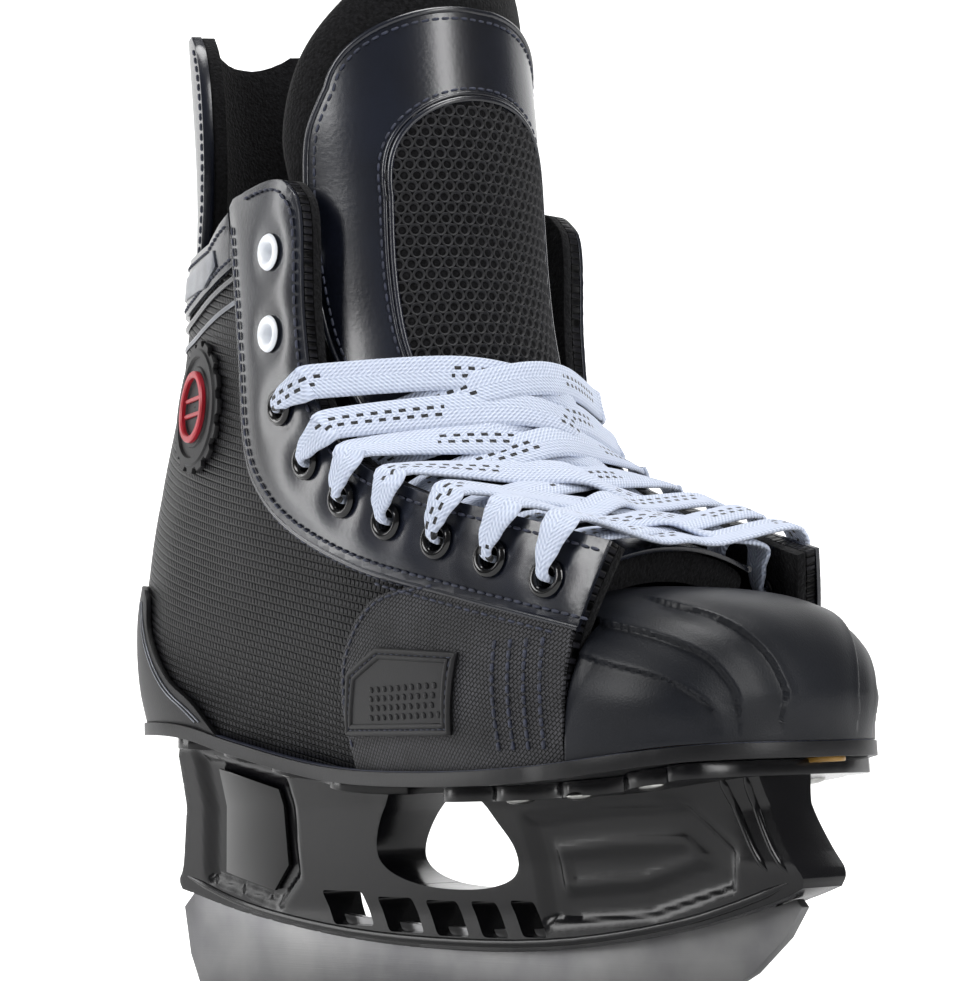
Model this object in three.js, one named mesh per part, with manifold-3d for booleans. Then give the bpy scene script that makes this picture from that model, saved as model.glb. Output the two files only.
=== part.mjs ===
// One ice hockey skate for the right foot: boot, tongue, lace, blade holder and steel runner.
// Millimetres, +X to the toe, +Z up, the outer side of the foot at -Y, the ice at Z = 0.
import * as THREE from "three";
import { mergeVertices } from "three/addons/utils/BufferGeometryUtils.js";
import Module from "manifold-3d";

const wasm = await Module();
wasm.setup();

// ---- Driving dimensions ----
const bootLength = 282; // heel bulge to toe cap
const bootWidth = 104; // across the ball
const bootHeight = 168; // ball of the sole to the top of the facings
const soleHeight = 74; // ice to the underside of the boot at the ball
const toeSwing = 3; // how far the toe turns to the inner side

const clearance = 0.3; // between pieces that touch
const shellWall = 3; // quarter
const liningWall = 3;
const trimWall = 1.3; // facings, collar panels and side panels sewn on the quarter
const patchWall = 1.6; // moulded patches on the trim
const counterWall = 1.6; // heel counter, outside the quarter
const capWall = 2.6; // toe cap
const outsoleWall = 4;
const outsoleLip = 2.2; // beyond the upper
const boardWall = 2;
const footbedWall = 5;
const padWall = 2.6; // how far an ankle pad stands inside the lining
const padAcross = 42;
const guardWall = 3.2;
const guardLining = 4;
const guardHeight = 70; // tendon guard above the collar
const guardDip = 6; // how far the middle of its rim lies under its two peaks

const tongueCover = 1.1;
const tongueGap = 0.7; // cover to felt, which are only sewn together at their edges
const tongueFelt = 8.5;
const tongueFold = 200; // height where the tongue folds over the top of the lace

const eyeletFlange = 11.4; // across the outer flange
const eyeletBore = 5.4;
const eyeletWall = 0.6;
const laceWidth = 9.6;
const laceThick = 1.2;
const laceInBore = 2.8; // width where it is gathered in an eyelet
const firstLaced = 3; // counted from the top eyelet

const badgeAcross = 41;
const badgeWall = 2.2;
const badgeRingAcross = 24;
const badgeRingBand = 3.4;
const badgeRingWall = 1.2;

const runnerThick = 3;
const runnerShow = 21; // steel below the holder rail at the middle
const runnerDepth = 6; // steel inside the holder
const railHalf = 6.5; // half the width of the holder rail
const holderFlange = 4;
const insertWall = 1.4;
const recessDepth = 2.4; // sunk panels of the towers
const slotFoot = 4.5; // rail under the five slots
const slotHeight = 8;
const rivetAcross = 8;
const rivetHead = 1.3;
const rivetSeat = 0.8; // how deep a head is let into the flange
const rivetShank = 4;

// ---- Grading: shapes below are drawn for the base size and stretched to the driving one ----
const baseLength = 282;
const baseWidth = 104;
const baseHeight = 168;
const baseSole = 74;
const baseShow = 21;
const gx = (x) => (x * bootLength) / baseLength;
const gy = (y) => (y * bootWidth) / baseWidth;
const gz = (z) => soleHeight + ((z - baseSole) * bootHeight) / baseHeight;
const grade = (points) => points.map(([x, z]) => [gx(x), gz(z)]);

// The last: at each height, where the back is, and half widths at the shares of the way to the front.
const stationShares = [0, 0.035, 0.13, 0.28, 0.46, 0.64, 0.82, 1];
const stationFront = 104;
const lastRows = [
  { z: 68, back: -134, half: [0, 17, 27, 30, 32, 39, 45, 43] },
  { z: 95, back: -140, half: [0, 20, 31, 36, 42, 48.5, 51, 45] },
  { z: 115, back: -141, half: [0, 21, 33, 40.5, 47, 51.5, 49.5, 42] },
  { z: 135, back: -137.5, half: [0, 21, 33, 41.5, 49.5, 52, 47, 36.5] },
  { z: 160, back: -130.5, half: [0, 20.5, 32.5, 43, 51.5, 51, 43, 30] },
  { z: 195, back: -117, half: [0, 20.5, 32.5, 44.5, 53, 49.5, 39, 26] },
  { z: 245, back: -108, half: [0, 20.5, 32.5, 46, 53.5, 49, 38, 25] },
  { z: 312, back: -112, half: [0, 20.5, 32, 45, 53, 49, 38, 25] },
];
// Underside of the boot, from heel to toe.
const soleLine = [
  [-150, 89.5],
  [-100, 88.5],
  [-68, 82.5],
  [-20, 74.5],
  [35, 72.5],
  [85, 74],
  [122, 78],
  [150, 78.5],
];

// ---- Small geometry helpers ----
function spline(values, t, mirror) {
  const last = values.length - 1;
  const i = Math.min(Math.floor(t), last - 1);
  const f = t - i;
  const at = (k) => {
    if (k < 0) return mirror ? mirror * values[1] : 2 * values[0] - values[1];
    return k > last ? 2 * values[last] - values[last - 1] : values[k];
  };
  const [a, b, c, d] = [at(i - 1), at(i), at(i + 1), at(i + 2)];
  return b + 0.5 * f * (c - a + f * (2 * a - 5 * b + 4 * c - d + f * (3 * (b - c) + d - a)));
}

function solidOf(geometry) {
  const bare = geometry.clone();
  bare.deleteAttribute("normal");
  bare.deleteAttribute("uv");
  const merged = mergeVertices(bare, 1e-4);
  return new wasm.Manifold(
    new wasm.Mesh({
      numProp: 3,
      vertProperties: merged.attributes.position.array,
      triVerts: new Uint32Array(merged.index.array),
    }),
  );
}

function geometryOf(solid) {
  const mesh = solid.getMesh();
  const geometry = new THREE.BufferGeometry();
  geometry.setAttribute("position", new THREE.BufferAttribute(mesh.vertProperties, 3));
  geometry.setIndex(new THREE.BufferAttribute(mesh.triVerts, 1));
  const flat = geometry.toNonIndexed();
  flat.computeVertexNormals();
  return flat;
}

// A closed solid from points and triangles, turned so that its faces point out.
function closedSolid(points, index) {
  const geometry = new THREE.BufferGeometry();
  const position = points.flatMap((p) => [p.x, p.y, p.z]);
  geometry.setAttribute("position", new THREE.Float32BufferAttribute(position, 3));
  geometry.setIndex(index);
  const solid = solidOf(geometry);
  if (solid.volume() > 0) return solid;
  for (let i = 0; i < index.length; i += 3) [index[i + 1], index[i + 2]] = [index[i + 2], index[i + 1]];
  geometry.setIndex(index);
  return solidOf(geometry);
}

// A closed solid from a grid of points on its front and another on its back.
function gridSolid(front, back) {
  const rows = front.length;
  const columns = front[0].length;
  const index = [];
  const at = (layer, r, c) => (layer * rows + r) * columns + c;
  const quad = (a, b, c, d) => index.push(a, b, c, a, c, d);
  for (let r = 0; r < rows - 1; r++) {
    for (let c = 0; c < columns - 1; c++) {
      quad(at(0, r, c), at(0, r, c + 1), at(0, r + 1, c + 1), at(0, r + 1, c));
      quad(at(1, r, c), at(1, r + 1, c), at(1, r + 1, c + 1), at(1, r, c + 1));
    }
    quad(at(0, r, 0), at(0, r + 1, 0), at(1, r + 1, 0), at(1, r, 0));
    const c = columns - 1;
    quad(at(0, r, c), at(1, r, c), at(1, r + 1, c), at(0, r + 1, c));
  }
  for (let c = 0; c < columns - 1; c++) {
    const r = rows - 1;
    quad(at(0, 0, c), at(1, 0, c), at(1, 0, c + 1), at(0, 0, c + 1));
    quad(at(0, r, c), at(0, r, c + 1), at(1, r, c + 1), at(1, r, c));
  }
  return closedSolid([...front.flat(), ...back.flat()], index);
}

// A closed solid through rings of points, flat at both ends.
function loftSolid(rings) {
  const count = rings[0].length;
  const index = [];
  for (let r = 0; r < rings.length - 1; r++) {
    for (let c = 0; c < count; c++) {
      const [a, b] = [r * count + c, r * count + ((c + 1) % count)];
      index.push(a, b, b + count, a, b + count, a + count);
    }
  }
  const end = (rings.length - 1) * count;
  for (let c = 1; c < count - 1; c++) {
    index.push(0, c + 1, c);
    index.push(end, end + c, end + c + 1);
  }
  return closedSolid(rings.flat(), index);
}

const vec = (x, y, z) => new THREE.Vector3(x, y, z);
const curved = (points, pieces) =>
  new THREE.SplineCurve(points.map(([x, y]) => new THREE.Vector2(x, y)))
    .getPoints(pieces)
    .map((p) => [p.x, p.y]);
const shapeOf = (points) => new THREE.Shape(points.map(([x, y]) => new THREE.Vector2(x, y)));

function extruded(points, depth) {
  return new THREE.ExtrudeGeometry(shapeOf(points), { depth, bevelEnabled: false });
}
// An outline in side view (x, z), from one y to another.
function sidePrism(points, yFrom, yTo) {
  const geometry = extruded(points, yTo - yFrom);
  geometry.rotateX(Math.PI / 2).translate(0, yTo, 0);
  return solidOf(geometry);
}
// An outline in plan (x, y), from one z to another.
function planPrism(points, zFrom, zTo) {
  return solidOf(extruded(points, zTo - zFrom).translate(0, 0, zFrom));
}
// An outline seen from the front (y, z), from one x to another.
function frontPrism(points, xFrom, xTo) {
  const turn = new THREE.Matrix4().makeBasis(vec(0, 1, 0), vec(0, 0, 1), vec(1, 0, 0));
  return solidOf(extruded(points, xTo - xFrom).applyMatrix4(turn).translate(xFrom, 0, 0));
}
// A round bar of a lathe profile (radius, along), its axis turned to a direction.
function turned(profile, place, axis, segments = 12) {
  const geometry = new THREE.LatheGeometry(
    profile.map(([r, y]) => new THREE.Vector2(r, y)),
    segments,
  );
  const turn = new THREE.Quaternion().setFromUnitVectors(vec(0, 1, 0), axis);
  geometry.applyQuaternion(turn).translate(place.x, place.y, place.z);
  return solidOf(geometry);
}
function bar(radius, from, to, segments = 12) {
  const axis = to.clone().sub(from);
  const length = axis.length();
  return turned(
    [
      [0, 0],
      [radius, 0],
      [radius, length],
      [0, length],
    ],
    from,
    axis.normalize(),
    segments,
  );
}

// ---- The boot's outer surface ----
const swing = (x) => toeSwing * Math.max(0, (x - gx(20)) / gx(120)) ** 2;
function lastAt(z) {
  const base = baseSole + ((z - soleHeight) * baseHeight) / bootHeight;
  let r = 0;
  while (r < lastRows.length - 2 && base > lastRows[r + 1].z) r++;
  const t = r + (base - lastRows[r].z) / (lastRows[r + 1].z - lastRows[r].z);
  const clamped = Math.max(0, Math.min(lastRows.length - 1, t));
  return {
    back: spline(lastRows.map((row) => row.back), clamped),
    half: stationShares.map((_, k) => spline(lastRows.map((row) => row.half[k]), clamped)),
  };
}
// u runs from -1 at the front of the outer side, through 0 at the back, to 1 at the front of the inner.
function surface(u, z) {
  const row = lastAt(z);
  const t = Math.abs(u) * (stationShares.length - 1);
  const share = spline(stationShares, t, 1);
  const half = spline(row.half, t, -1);
  const x = gx(row.back + share * (stationFront - row.back));
  return vec(x, Math.sign(u) * gy(half) + swing(x), z);
}
function surfaceNormal(u, z) {
  const step = 0.004;
  const across = surface(u + step, z).sub(surface(u - step, z));
  const up = surface(u, z + 0.5).sub(surface(u, z - 0.5));
  return across.cross(up).negate().normalize();
}
// The place on the outer surface at x and z, with its outward normal.
function onBoot(x, z, side) {
  let [low, high] = [0, 1];
  for (let k = 0; k < 30; k++) {
    const middle = (low + high) / 2;
    if (surface(side * middle, z).x < x) low = middle;
    else high = middle;
  }
  const u = side * low;
  return { place: surface(u, z), normal: surfaceNormal(u, z) };
}
// Levels where the wrap's grid has a row.
const levels = [66, 88, 108, 128, 150, 178, 210, 243, 276, 312];
const wraps = new Map();
// The layer of the boot between two distances from its outer surface, around both sides.
function wrap(inner, outer) {
  const key = inner + " " + outer;
  if (wraps.has(key)) return wraps.get(key);
  const columns = 18;
  const layer = (offset) =>
    levels.map((level) => {
      const z = gz(level);
      return Array.from({ length: columns + 1 }, (_, c) => {
        const u = -1 + (2 * c) / columns;
        return surface(u, z).addScaledVector(surfaceNormal(u, z), offset);
      });
    });
  const made = gridSolid(layer(outer), layer(inner));
  wraps.set(key, made);
  return made;
}
const wide = bootWidth;
const seam = clearance / 2;
// A panel of the boot's side, from its outline in side view.
function panel(outline, side, inner, outer) {
  const [from, to] = side < 0 ? [-wide, -seam] : [seam, wide];
  return wrap(inner, outer).intersect(sidePrism(outline, from, to));
}
function soleAt(x) {
  const points = curved(grade(soleLine), 40);
  let k = 0;
  while (k < points.length - 2 && points[k + 1][0] < x) k++;
  const f = (x - points[k][0]) / (points[k + 1][0] - points[k][0]);
  return points[k][1] + f * (points[k + 1][1] - points[k][1]);
}
// The sole line raised by a height, between two x.
function soleEdge(from, to, raise, pieces = 10) {
  return Array.from({ length: pieces + 1 }, (_, k) => {
    const x = from + ((to - from) * k) / pieces;
    return [x, soleAt(x) + raise];
  });
}

// ---- Outlines in side view ----
const heelEnd = gx(-152);
const frontLine = grade([
  [89, 60],
  [91, 92],
  [94, 110],
  [101, 131],
]);
const facingFront = grade([
  [101, 131],
  [70, 140],
  [38, 149],
  [14, 160],
  [-1, 178],
  [-5, 202],
  [-5, 230],
  [-9, 239],
  [-18, 243],
  [-44, 242],
]);
const facingEdge = curved(facingFront, 18);
const collarEdge = grade([
  [-56, 237],
  [-68, 233],
]);
const collarTop = gz(233);
const facingSeam = curved(
  grade([
    [-47, 240],
    [-41, 195],
    [-38, 168],
    [-30, 154],
    [-14, 142],
    [15, 130],
    [50, 120.5],
    [95, 109],
  ]),
  8,
);
// The quarter's outline, with its bottom raised and its other edges as they are.
function quarterOutline(raise) {
  const bottomX = frontLine[0][0];
  return [
    ...soleEdge(heelEnd, bottomX, raise, 14),
    ...frontLine.slice(1, 3),
    ...facingEdge,
    ...collarEdge,
    [heelEnd, collarTop],
  ];
}

const group = new THREE.Group();
group.name = "hockey_skate";
const finishes = {
  puLeather: { color: "#26272e", roughness: 0.34, metalness: 0 },
  embossedPu: { color: "#232326", roughness: 0.5, metalness: 0 },
  ballisticNylon: { color: "#303033", roughness: 0.8, metalness: 0 },
  felt: { color: "#101011", roughness: 1, metalness: 0 },
  airMesh: { color: "#17171a", roughness: 0.85, metalness: 0 },
  capPlastic: { color: "#26272b", roughness: 0.6, metalness: 0 },
  holderPlastic: { color: "#1d1d21", roughness: 0.3, metalness: 0 },
  insertPlastic: { color: "#0c0c0e", roughness: 0.12, metalness: 0 },
  solePlastic: { color: "#1a1a1c", roughness: 0.55, metalness: 0 },
  rubber: { color: "#19191b", roughness: 0.7, metalness: 0 },
  redPlastic: { color: "#b81f2c", roughness: 0.4, metalness: 0 },
  whiteEnamel: { color: "#e9ebee", roughness: 0.3, metalness: 0 },
  blackEnamel: { color: "#111113", roughness: 0.3, metalness: 0 },
  steel: { color: "#8d8d8b", roughness: 0.38, metalness: 1 },
  laceWhite: { color: "#dfe5f2", roughness: 0.85, metalness: 0 },
  foam: { color: "#4b4b50", roughness: 0.95, metalness: 0 },
  fibreboard: { color: "#8a7350", roughness: 0.9, metalness: 0 },
};
function add(name, solid, finish) {
  const mesh = new THREE.Mesh(geometryOf(solid), new THREE.MeshStandardMaterial(finishes[finish]));
  mesh.name = name;
  group.add(mesh);
}
const sides = [
  ["right", -1],
  ["left", 1],
];

// ---- Eyelet places, on the outer surface ----
const eyeletSpots = grade([
  [-19, 222],
  [-20, 198.5],
  [-16, 177],
  [-5, 160.5],
  [10.5, 148.5],
  [28.5, 141],
  [47, 134.5],
  [65.5, 128.5],
  [84, 122],
]);
const eyelets = new Map(
  sides.map(([name, side]) => [name, eyeletSpots.map(([x, z]) => onBoot(x, z, side))]),
);
const along = (spot, distance) => spot.place.clone().addScaledVector(spot.normal, distance);
const boreHole = (spot, radius) => bar(radius * 1.12, along(spot, -14), along(spot, 8), 6);
const barrelRadius = eyeletBore / 2 + eyeletWall;
function pierced(solid, name) {
  const holes = eyelets.get(name).map((spot) => boreHole(spot, barrelRadius + clearance));
  return holes.reduce((left, hole) => left.subtract(hole), solid);
}

// ---- Boot panels ----
const liningInner = -shellWall - clearance - liningWall;
const trimOuter = clearance + trimWall;
for (const [name, side] of sides) {
  const quarter = panel(quarterOutline(clearance), side, -shellWall, 0);
  add(name + "_quarter", pierced(quarter, name), "embossedPu");

  const lining = panel(quarterOutline(clearance), side, liningInner, -shellWall - clearance);
  const padSpot = onBoot(gx(-66), gz(178), side);
  const padRound = (radius) => bar(radius, along(padSpot, -16), along(padSpot, 4), 16);
  const padHole = padRound(padAcross / 2 + clearance);
  add(name + "_lining", pierced(lining, name).subtract(padHole), "felt");
  const pad = wrap(liningInner - padWall, -shellWall - clearance).intersect(padRound(padAcross / 2));
  add(name + "_ankle_pad", pad, "foam");

  const facingOutline = [...facingSeam, ...frontLine.slice(3), ...facingEdge.slice(1)];
  add(name + "_facing", pierced(panel(facingOutline, side, clearance, trimOuter), name), "puLeather");

  const underSeam = sidePrism(facingOutline.map(([x, z]) => [x, z - 2 * clearance]), -wide, wide);
  const nylonOutline = [
    ...soleEdge(gx(-4), frontLine[0][0], clearance, 8),
    ...frontLine.slice(1, 3),
    ...grade([
      [50, 126],
      [22, 120],
      [8, 108],
      [0, 92],
    ]),
  ];
  const nylon = panel(nylonOutline, side, clearance, trimOuter).subtract(underSeam);
  add(name + "_side_panel", nylon, "ballisticNylon");

  const patchOutline = grade([
    [0, 84],
    [51, 83],
    [57, 104],
    [24, 107],
    [9, 101],
  ]);
  const patchInner = trimOuter + clearance;
  add(name + "_side_patch", panel(patchOutline, side, patchInner, patchInner + patchWall), "rubber");

  const collarOutline = [
    ...grade([
      [-45.5, 222],
      [-48.2, 238.6],
      [-56, 236.6],
      [-68, 232.7],
    ]),
    [heelEnd, collarTop - clearance],
    ...grade([
      [-152, 214],
      [-96, 215],
      [-64, 219],
    ]),
  ];
  add(name + "_collar_panel", panel(collarOutline, side, clearance, trimOuter), "puLeather");

  const badgeSpot = onBoot(gx(-78), gz(184), side);
  const badgeRound = (radius) => bar(radius, along(badgeSpot, -9), along(badgeSpot, 12), 16);
  const badgeTop = clearance + badgeWall;
  const badge = wrap(clearance, badgeTop).intersect(badgeRound(badgeAcross / 2));
  add(name + "_ankle_badge", badge, "rubber");
  const ringTop = wrap(badgeTop + clearance, badgeTop + clearance + badgeRingWall);
  const ring = badgeRound(badgeRingAcross / 2).subtract(badgeRound(badgeRingAcross / 2 - badgeRingBand));
  add(name + "_badge_ring", ringTop.intersect(ring), "redPlastic");

  eyelets.get(name).forEach((spot, k) => {
    const [out, back] = [trimOuter + 2 * clearance, liningInner - 4 * clearance];
    const [bore, flange, clench] = [eyeletBore / 2, eyeletFlange / 2, eyeletFlange / 2 - 1.2];
    const profile = [
      [bore, back - 0.8],
      [clench, back - 0.8],
      [clench, back],
      [barrelRadius, back],
      [barrelRadius, out],
      [flange, out],
      [flange - 0.7, out + 0.9],
      [bore, out + 0.9],
      [bore, back - 0.8],
    ];
    const finish = k < firstLaced - 1 ? "whiteEnamel" : "blackEnamel";
    add(name + "_eyelet_" + (k + 1), turned(profile, spot.place, spot.normal, 8), finish);
  });
}

const counterOutline = [
  ...soleEdge(heelEnd, gx(-76), clearance, 4),
  ...grade([
    [-88, 95],
    [-101, 103],
    [-113, 117],
    [-119, 131],
    [-152, 133],
  ]),
];
const counterLayer = wrap(clearance, clearance + counterWall);
add("heel_counter", counterLayer.intersect(sidePrism(counterOutline, -wide, wide)), "rubber");

// ---- Tendon guard, hinged along the collar's back edge ----
const guardFoot = collarTop + clearance;
const guardTop = guardFoot + guardHeight;
const guardOutline = [
  [heelEnd, guardFoot],
  [gx(-87), guardFoot],
  [gx(-82.5), guardFoot + guardHeight * 0.35],
  [gx(-83), guardFoot + guardHeight * 0.7],
  [gx(-87), guardTop - 7],
  [gx(-93), guardTop],
  [heelEnd, guardTop],
];
const dipHalf = gy(20);
const dipRadius = (dipHalf ** 2 + guardDip ** 2) / (2 * guardDip);
const dipZ = guardTop + dipRadius - guardDip;
const dip = bar(dipRadius, vec(heelEnd, 0, dipZ), vec(0, 0, dipZ), 40);
const guardCut = sidePrism(guardOutline, -wide, wide).subtract(dip);
add("tendon_guard", wrap(-guardWall, 0).intersect(guardCut), "puLeather");
const guardFelt = wrap(-guardWall - clearance - guardLining, -guardWall - clearance);
add("tendon_guard_lining", guardFelt.intersect(guardCut), "felt");

// ---- Sole, boards and toe cap ----
const toeEnd = bootLength / 2;
const capRear = gx(84);
const capShare = (x) => Math.max(0, (x - capRear) / (toeEnd - capRear));
const capHalf = (x, wall) => (gy(47.5) * (1 - Math.min(1, capShare(x + wall)) ** 2.6) ** (1 / 2.2)) - wall;
// Plan outline of the boot at its sole, moved out by a distance.
function solePlan(out) {
  const half = [];
  for (let k = 0; k <= 10; k++) {
    const u = k / 10;
    const rough = surface(u, gz(84));
    const place = surface(u, soleAt(rough.x) + 4);
    if (place.x > capRear) break;
    const normal = surfaceNormal(u, soleAt(rough.x) + 4);
    half.push([place.x + normal.x * out, place.y + normal.y * out - swing(place.x)]);
  }
  for (let k = 0; k <= 6; k++) {
    const x = capRear + (toeEnd - capRear) * Math.sin((k / 6) * (Math.PI / 2));
    const w = k === 6 ? 0 : capHalf(x, 0);
    const spread = out * (w / gy(47.5));
    half.push([x + out - spread, w + spread]);
  }
  const shifted = half.map(([x, y]) => [x, y, swing(x)]);
  const inner = shifted.map(([x, y, s]) => [x, y + s]);
  const outer = shifted.slice(1, -1).reverse().map(([x, y, s]) => [x, s - y]);
  return [...inner, ...outer];
}
function soleBand(low, high) {
  const from = gx(-160);
  const to = gx(160);
  const outline = [...soleEdge(from, to, low, 12), ...soleEdge(from, to, high, 12).reverse()];
  return sidePrism(outline, -wide, wide);
}
const solePrism = (out) => planPrism(solePlan(out), 0, gz(140));
const boardInset = shellWall + liningWall + 3.2; // clear of the lining's turned-in foot
const board = solePrism(-boardInset).intersect(soleBand(clearance, clearance + boardWall));
add("lasting_board", board, "fibreboard");
const bedLow = boardWall + 2 * clearance;
const bed = solePrism(-boardInset - 0.5).intersect(soleBand(bedLow, bedLow + footbedWall));
add("footbed", bed, "foam");

// The toe cap is a dome of arched sections.
function dome(wall, base) {
  const rings = [];
  const sections = 9;
  const arches = 12;
  const from = gx(70);
  const to = toeEnd - wall - 0.4;
  for (let k = 0; k <= sections; k++) {
    const x = from + (to - from) * Math.sin((k / sections) * (Math.PI / 2));
    const half = Math.max(2, capHalf(Math.max(x, capRear), wall));
    const slope = 6 * Math.max(0, (x - gx(80)) / gx(45)) ** 2;
    const rise = (gz(121) - base - slope) * (1 - Math.min(1, capShare(x + wall)) ** 6) ** (1 / 3) - wall;
    const height = Math.max(3, rise);
    const ring = [vec(x, swing(x) - half, base - 20), vec(x, swing(x) + half, base - 20)];
    for (let a = 0; a <= arches; a++) {
      const angle = (Math.PI * a) / arches;
      const [c, s] = [Math.cos(angle), Math.abs(Math.sin(angle))];
      const y = half * Math.sign(c) * Math.abs(c) ** (2 / 3);
      ring.push(vec(x, swing(x) + y, base + height * s ** (2 / 3)));
    }
    rings.push(ring);
  }
  return loftSolid(rings);
}
const capBase = gz(77);
const behindCap = [
  [0, 0],
  ...frontLine.map(([x, z], k) => [x + clearance, k ? z : 0]),
  [frontLine[3][0] + clearance, gz(160)],
  [0, gz(160)],
];
const upperBand = wrap(liningInner - clearance, 8).intersect(sidePrism(behindCap, -wide, wide));
const capCut = sidePrism(
  [
    ...soleEdge(gx(60), gx(160), clearance, 12),
    [gx(160), gz(160)],
    [gx(79), gz(160)],
    [gx(79), gz(112)],
  ],
  -wide,
  wide,
);
const cap = dome(0, capBase).subtract(dome(capWall, capBase)).intersect(capCut).subtract(upperBand);
const capParts = cap.decompose().sort((a, b) => b.volume() - a.volume());
add("toe_cap", capParts[0], "capPlastic");

// ---- Tongue ----
const tongueRows = [
  { x: 88, z: 131.5, radius: 74, angle: 24 },
  { x: 70, z: 137.5, radius: 76, angle: 27 },
  { x: 53, z: 145, radius: 74, angle: 29 },
  { x: 40, z: 154, radius: 66, angle: 34 },
  { x: 30.5, z: 167, radius: 54, angle: 47 },
  { x: 24, z: 183, radius: 46, angle: 65 },
  { x: 20, z: 200, radius: 43, angle: 80 },
  { x: 17.5, z: 218, radius: 43, angle: 87 },
  { x: 16, z: 240, radius: 43.5, angle: 91 },
  { x: 14.5, z: 262, radius: 45, angle: 92 },
  { x: 12.5, z: 283, radius: 45, angle: 80 },
  { x: 11, z: 300, radius: 44, angle: 56 },
  { x: 10, z: 312, radius: 43, angle: 26 },
];
const tongueField = (key, t) => spline(tongueRows.map((row) => row[key]), Math.min(t, tongueRows.length - 1));
const tongueLine = (t) => vec(gx(tongueField("x", t)), 0, gz(tongueField("z", t)));
// t runs along the rows, share from -1 at the outer edge to 1 at the inner, out is above its face.
function onTongue(t, share, out) {
  const centre = tongueLine(t);
  const ahead = tongueLine(t + 0.02).sub(tongueLine(Math.max(0, t - 0.02))).normalize();
  const normal = vec(ahead.z, 0, -ahead.x);
  const radius = gy(tongueField("radius", t));
  const angle = (share * tongueField("angle", t) * Math.PI) / 180;
  const point = centre.addScaledVector(normal, (radius + out) * Math.cos(angle) - radius);
  point.y = (radius + out) * Math.sin(angle) + swing(point.x);
  return point;
}
const rowAtHeight = (z) => {
  let [low, high] = [0, tongueRows.length - 1];
  for (let k = 0; k < 30; k++) {
    const middle = (low + high) / 2;
    if (tongueLine(middle).z < z) low = middle;
    else high = middle;
  }
  return low;
};
function tongueLayer(from, to, shares, inner, outer, rows) {
  const grid = (out) =>
    Array.from({ length: rows + 1 }, (_, r) =>
      Array.from({ length: 11 }, (_, c) => {
        const share = shares[0] + ((shares[1] - shares[0]) * c) / 10;
        return onTongue(from + ((to - from) * r) / rows, share, out);
      }),
    );
  return gridSolid(grid(outer), grid(inner));
}
const fold = rowAtHeight(gz(tongueFold));
const foldGap = 0.025;
const lastRow = tongueRows.length - 1;
const feltTop = -tongueCover - tongueGap;
const feltLow = feltTop - tongueFelt;
const overCap = dome(-2 * clearance, capBase);
const lowerFelt = tongueLayer(0, fold - foldGap, [-1, 1], feltLow, feltTop, 10);
add("tongue_lower_felt", lowerFelt.subtract(overCap), "felt");
add("tongue_upper_felt", tongueLayer(fold, lastRow, [-1, 1], feltLow, feltTop, 7), "felt");
add("tongue_lower_cover", tongueLayer(0, fold - foldGap, [-0.93, 0.93], -tongueCover, 0, 12), "puLeather");
const archLow = fold + 0.15;
const archTop = rowAtHeight(gz(267));
const archRows = 8;
const archShare = 0.36;
// The arched mesh window, as a layer of the tongue, grown by a distance.
function meshArch(grow, inner, outer) {
  const grid = (out) =>
    Array.from({ length: archRows + 1 }, (_, r) => {
      const f = r / archRows;
      const t = archLow + (archTop + grow / 20 - archLow) * Math.sin((f * Math.PI) / 2);
      const half = (archShare + grow / 40) * Math.max(0.12, Math.cos((f * Math.PI) / 2)) ** 0.5;
      return Array.from({ length: 9 }, (_, c) => onTongue(t, half * (c / 4 - 1), out));
    });
  return gridSolid(grid(outer), grid(inner));
}
const upperCover = tongueLayer(fold, lastRow - 0.25, [-0.86, 0.86], -tongueCover, 0, 8);
add("tongue_upper_cover", upperCover.subtract(meshArch(0.5, -tongueCover - 3, 3)), "puLeather");
add("tongue_mesh", meshArch(0, -tongueCover, -0.1), "airMesh");

// ---- Blade holder ----
// Underside of the holder's rail, from the heel to the prow; its middle sets how much steel shows.
const railLine = curved(
  [
    [-134, 36],
    [-100, 29],
    [-50, 23],
    [0, 21],
    [45, 22.7],
    [90, 29],
    [125, 37.5],
    [148, 46],
  ].map(([x, z]) => [gx(x), z - baseShow + runnerShow]),
  24,
);
function railAt(x) {
  let k = 0;
  while (k < railLine.length - 2 && railLine[k + 1][0] < x) k++;
  const [[xa, za], [xb, zb]] = [railLine[k], railLine[k + 1]];
  return za + ((zb - za) * (x - xa)) / (xb - xa);
}
const holderTop = (x) => soleAt(x) - outsoleWall - clearance;
// A height in the holder, as a share of the way from its rail to the sole above it.
const inHolder = (points) =>
  points.map(([x, share]) => [gx(x), railAt(gx(x)) + share * (holderTop(gx(x)) - railAt(gx(x)))]);
const topEdge = (from, to, drop, pieces) =>
  soleEdge(from, to, -outsoleWall - clearance - drop, pieces).reverse();

const rearTower = [
  ...railLine.filter(([x]) => x < gx(12)),
  ...inHolder([
    [13, 0],
    [13, 0.35],
    [-6, 0.37],
    [-25, 0.42],
    [-32, 0.52],
    [-27, 0.75],
    [-18, 0.97],
  ]),
  ...topEdge(gx(-112), gx(-18), 1, 6),
  ...inHolder([
    [-118, 0.96],
    [-131, 0.16],
  ]),
];
const frontTower = [
  ...inHolder([
    [8, 0.36],
    [8, 0],
  ]),
  ...railLine.filter(([x]) => x > gx(9)),
  ...inHolder([
    [146, 0.12],
    [134, 0.7],
    [136, 0.97],
  ]),
  ...topEdge(gx(24), gx(134), 1, 6),
  ...inHolder([
    [20, 0.95],
    [25, 0.78],
    [31, 0.62],
    [30, 0.46],
    [22, 0.38],
  ]),
];
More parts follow.
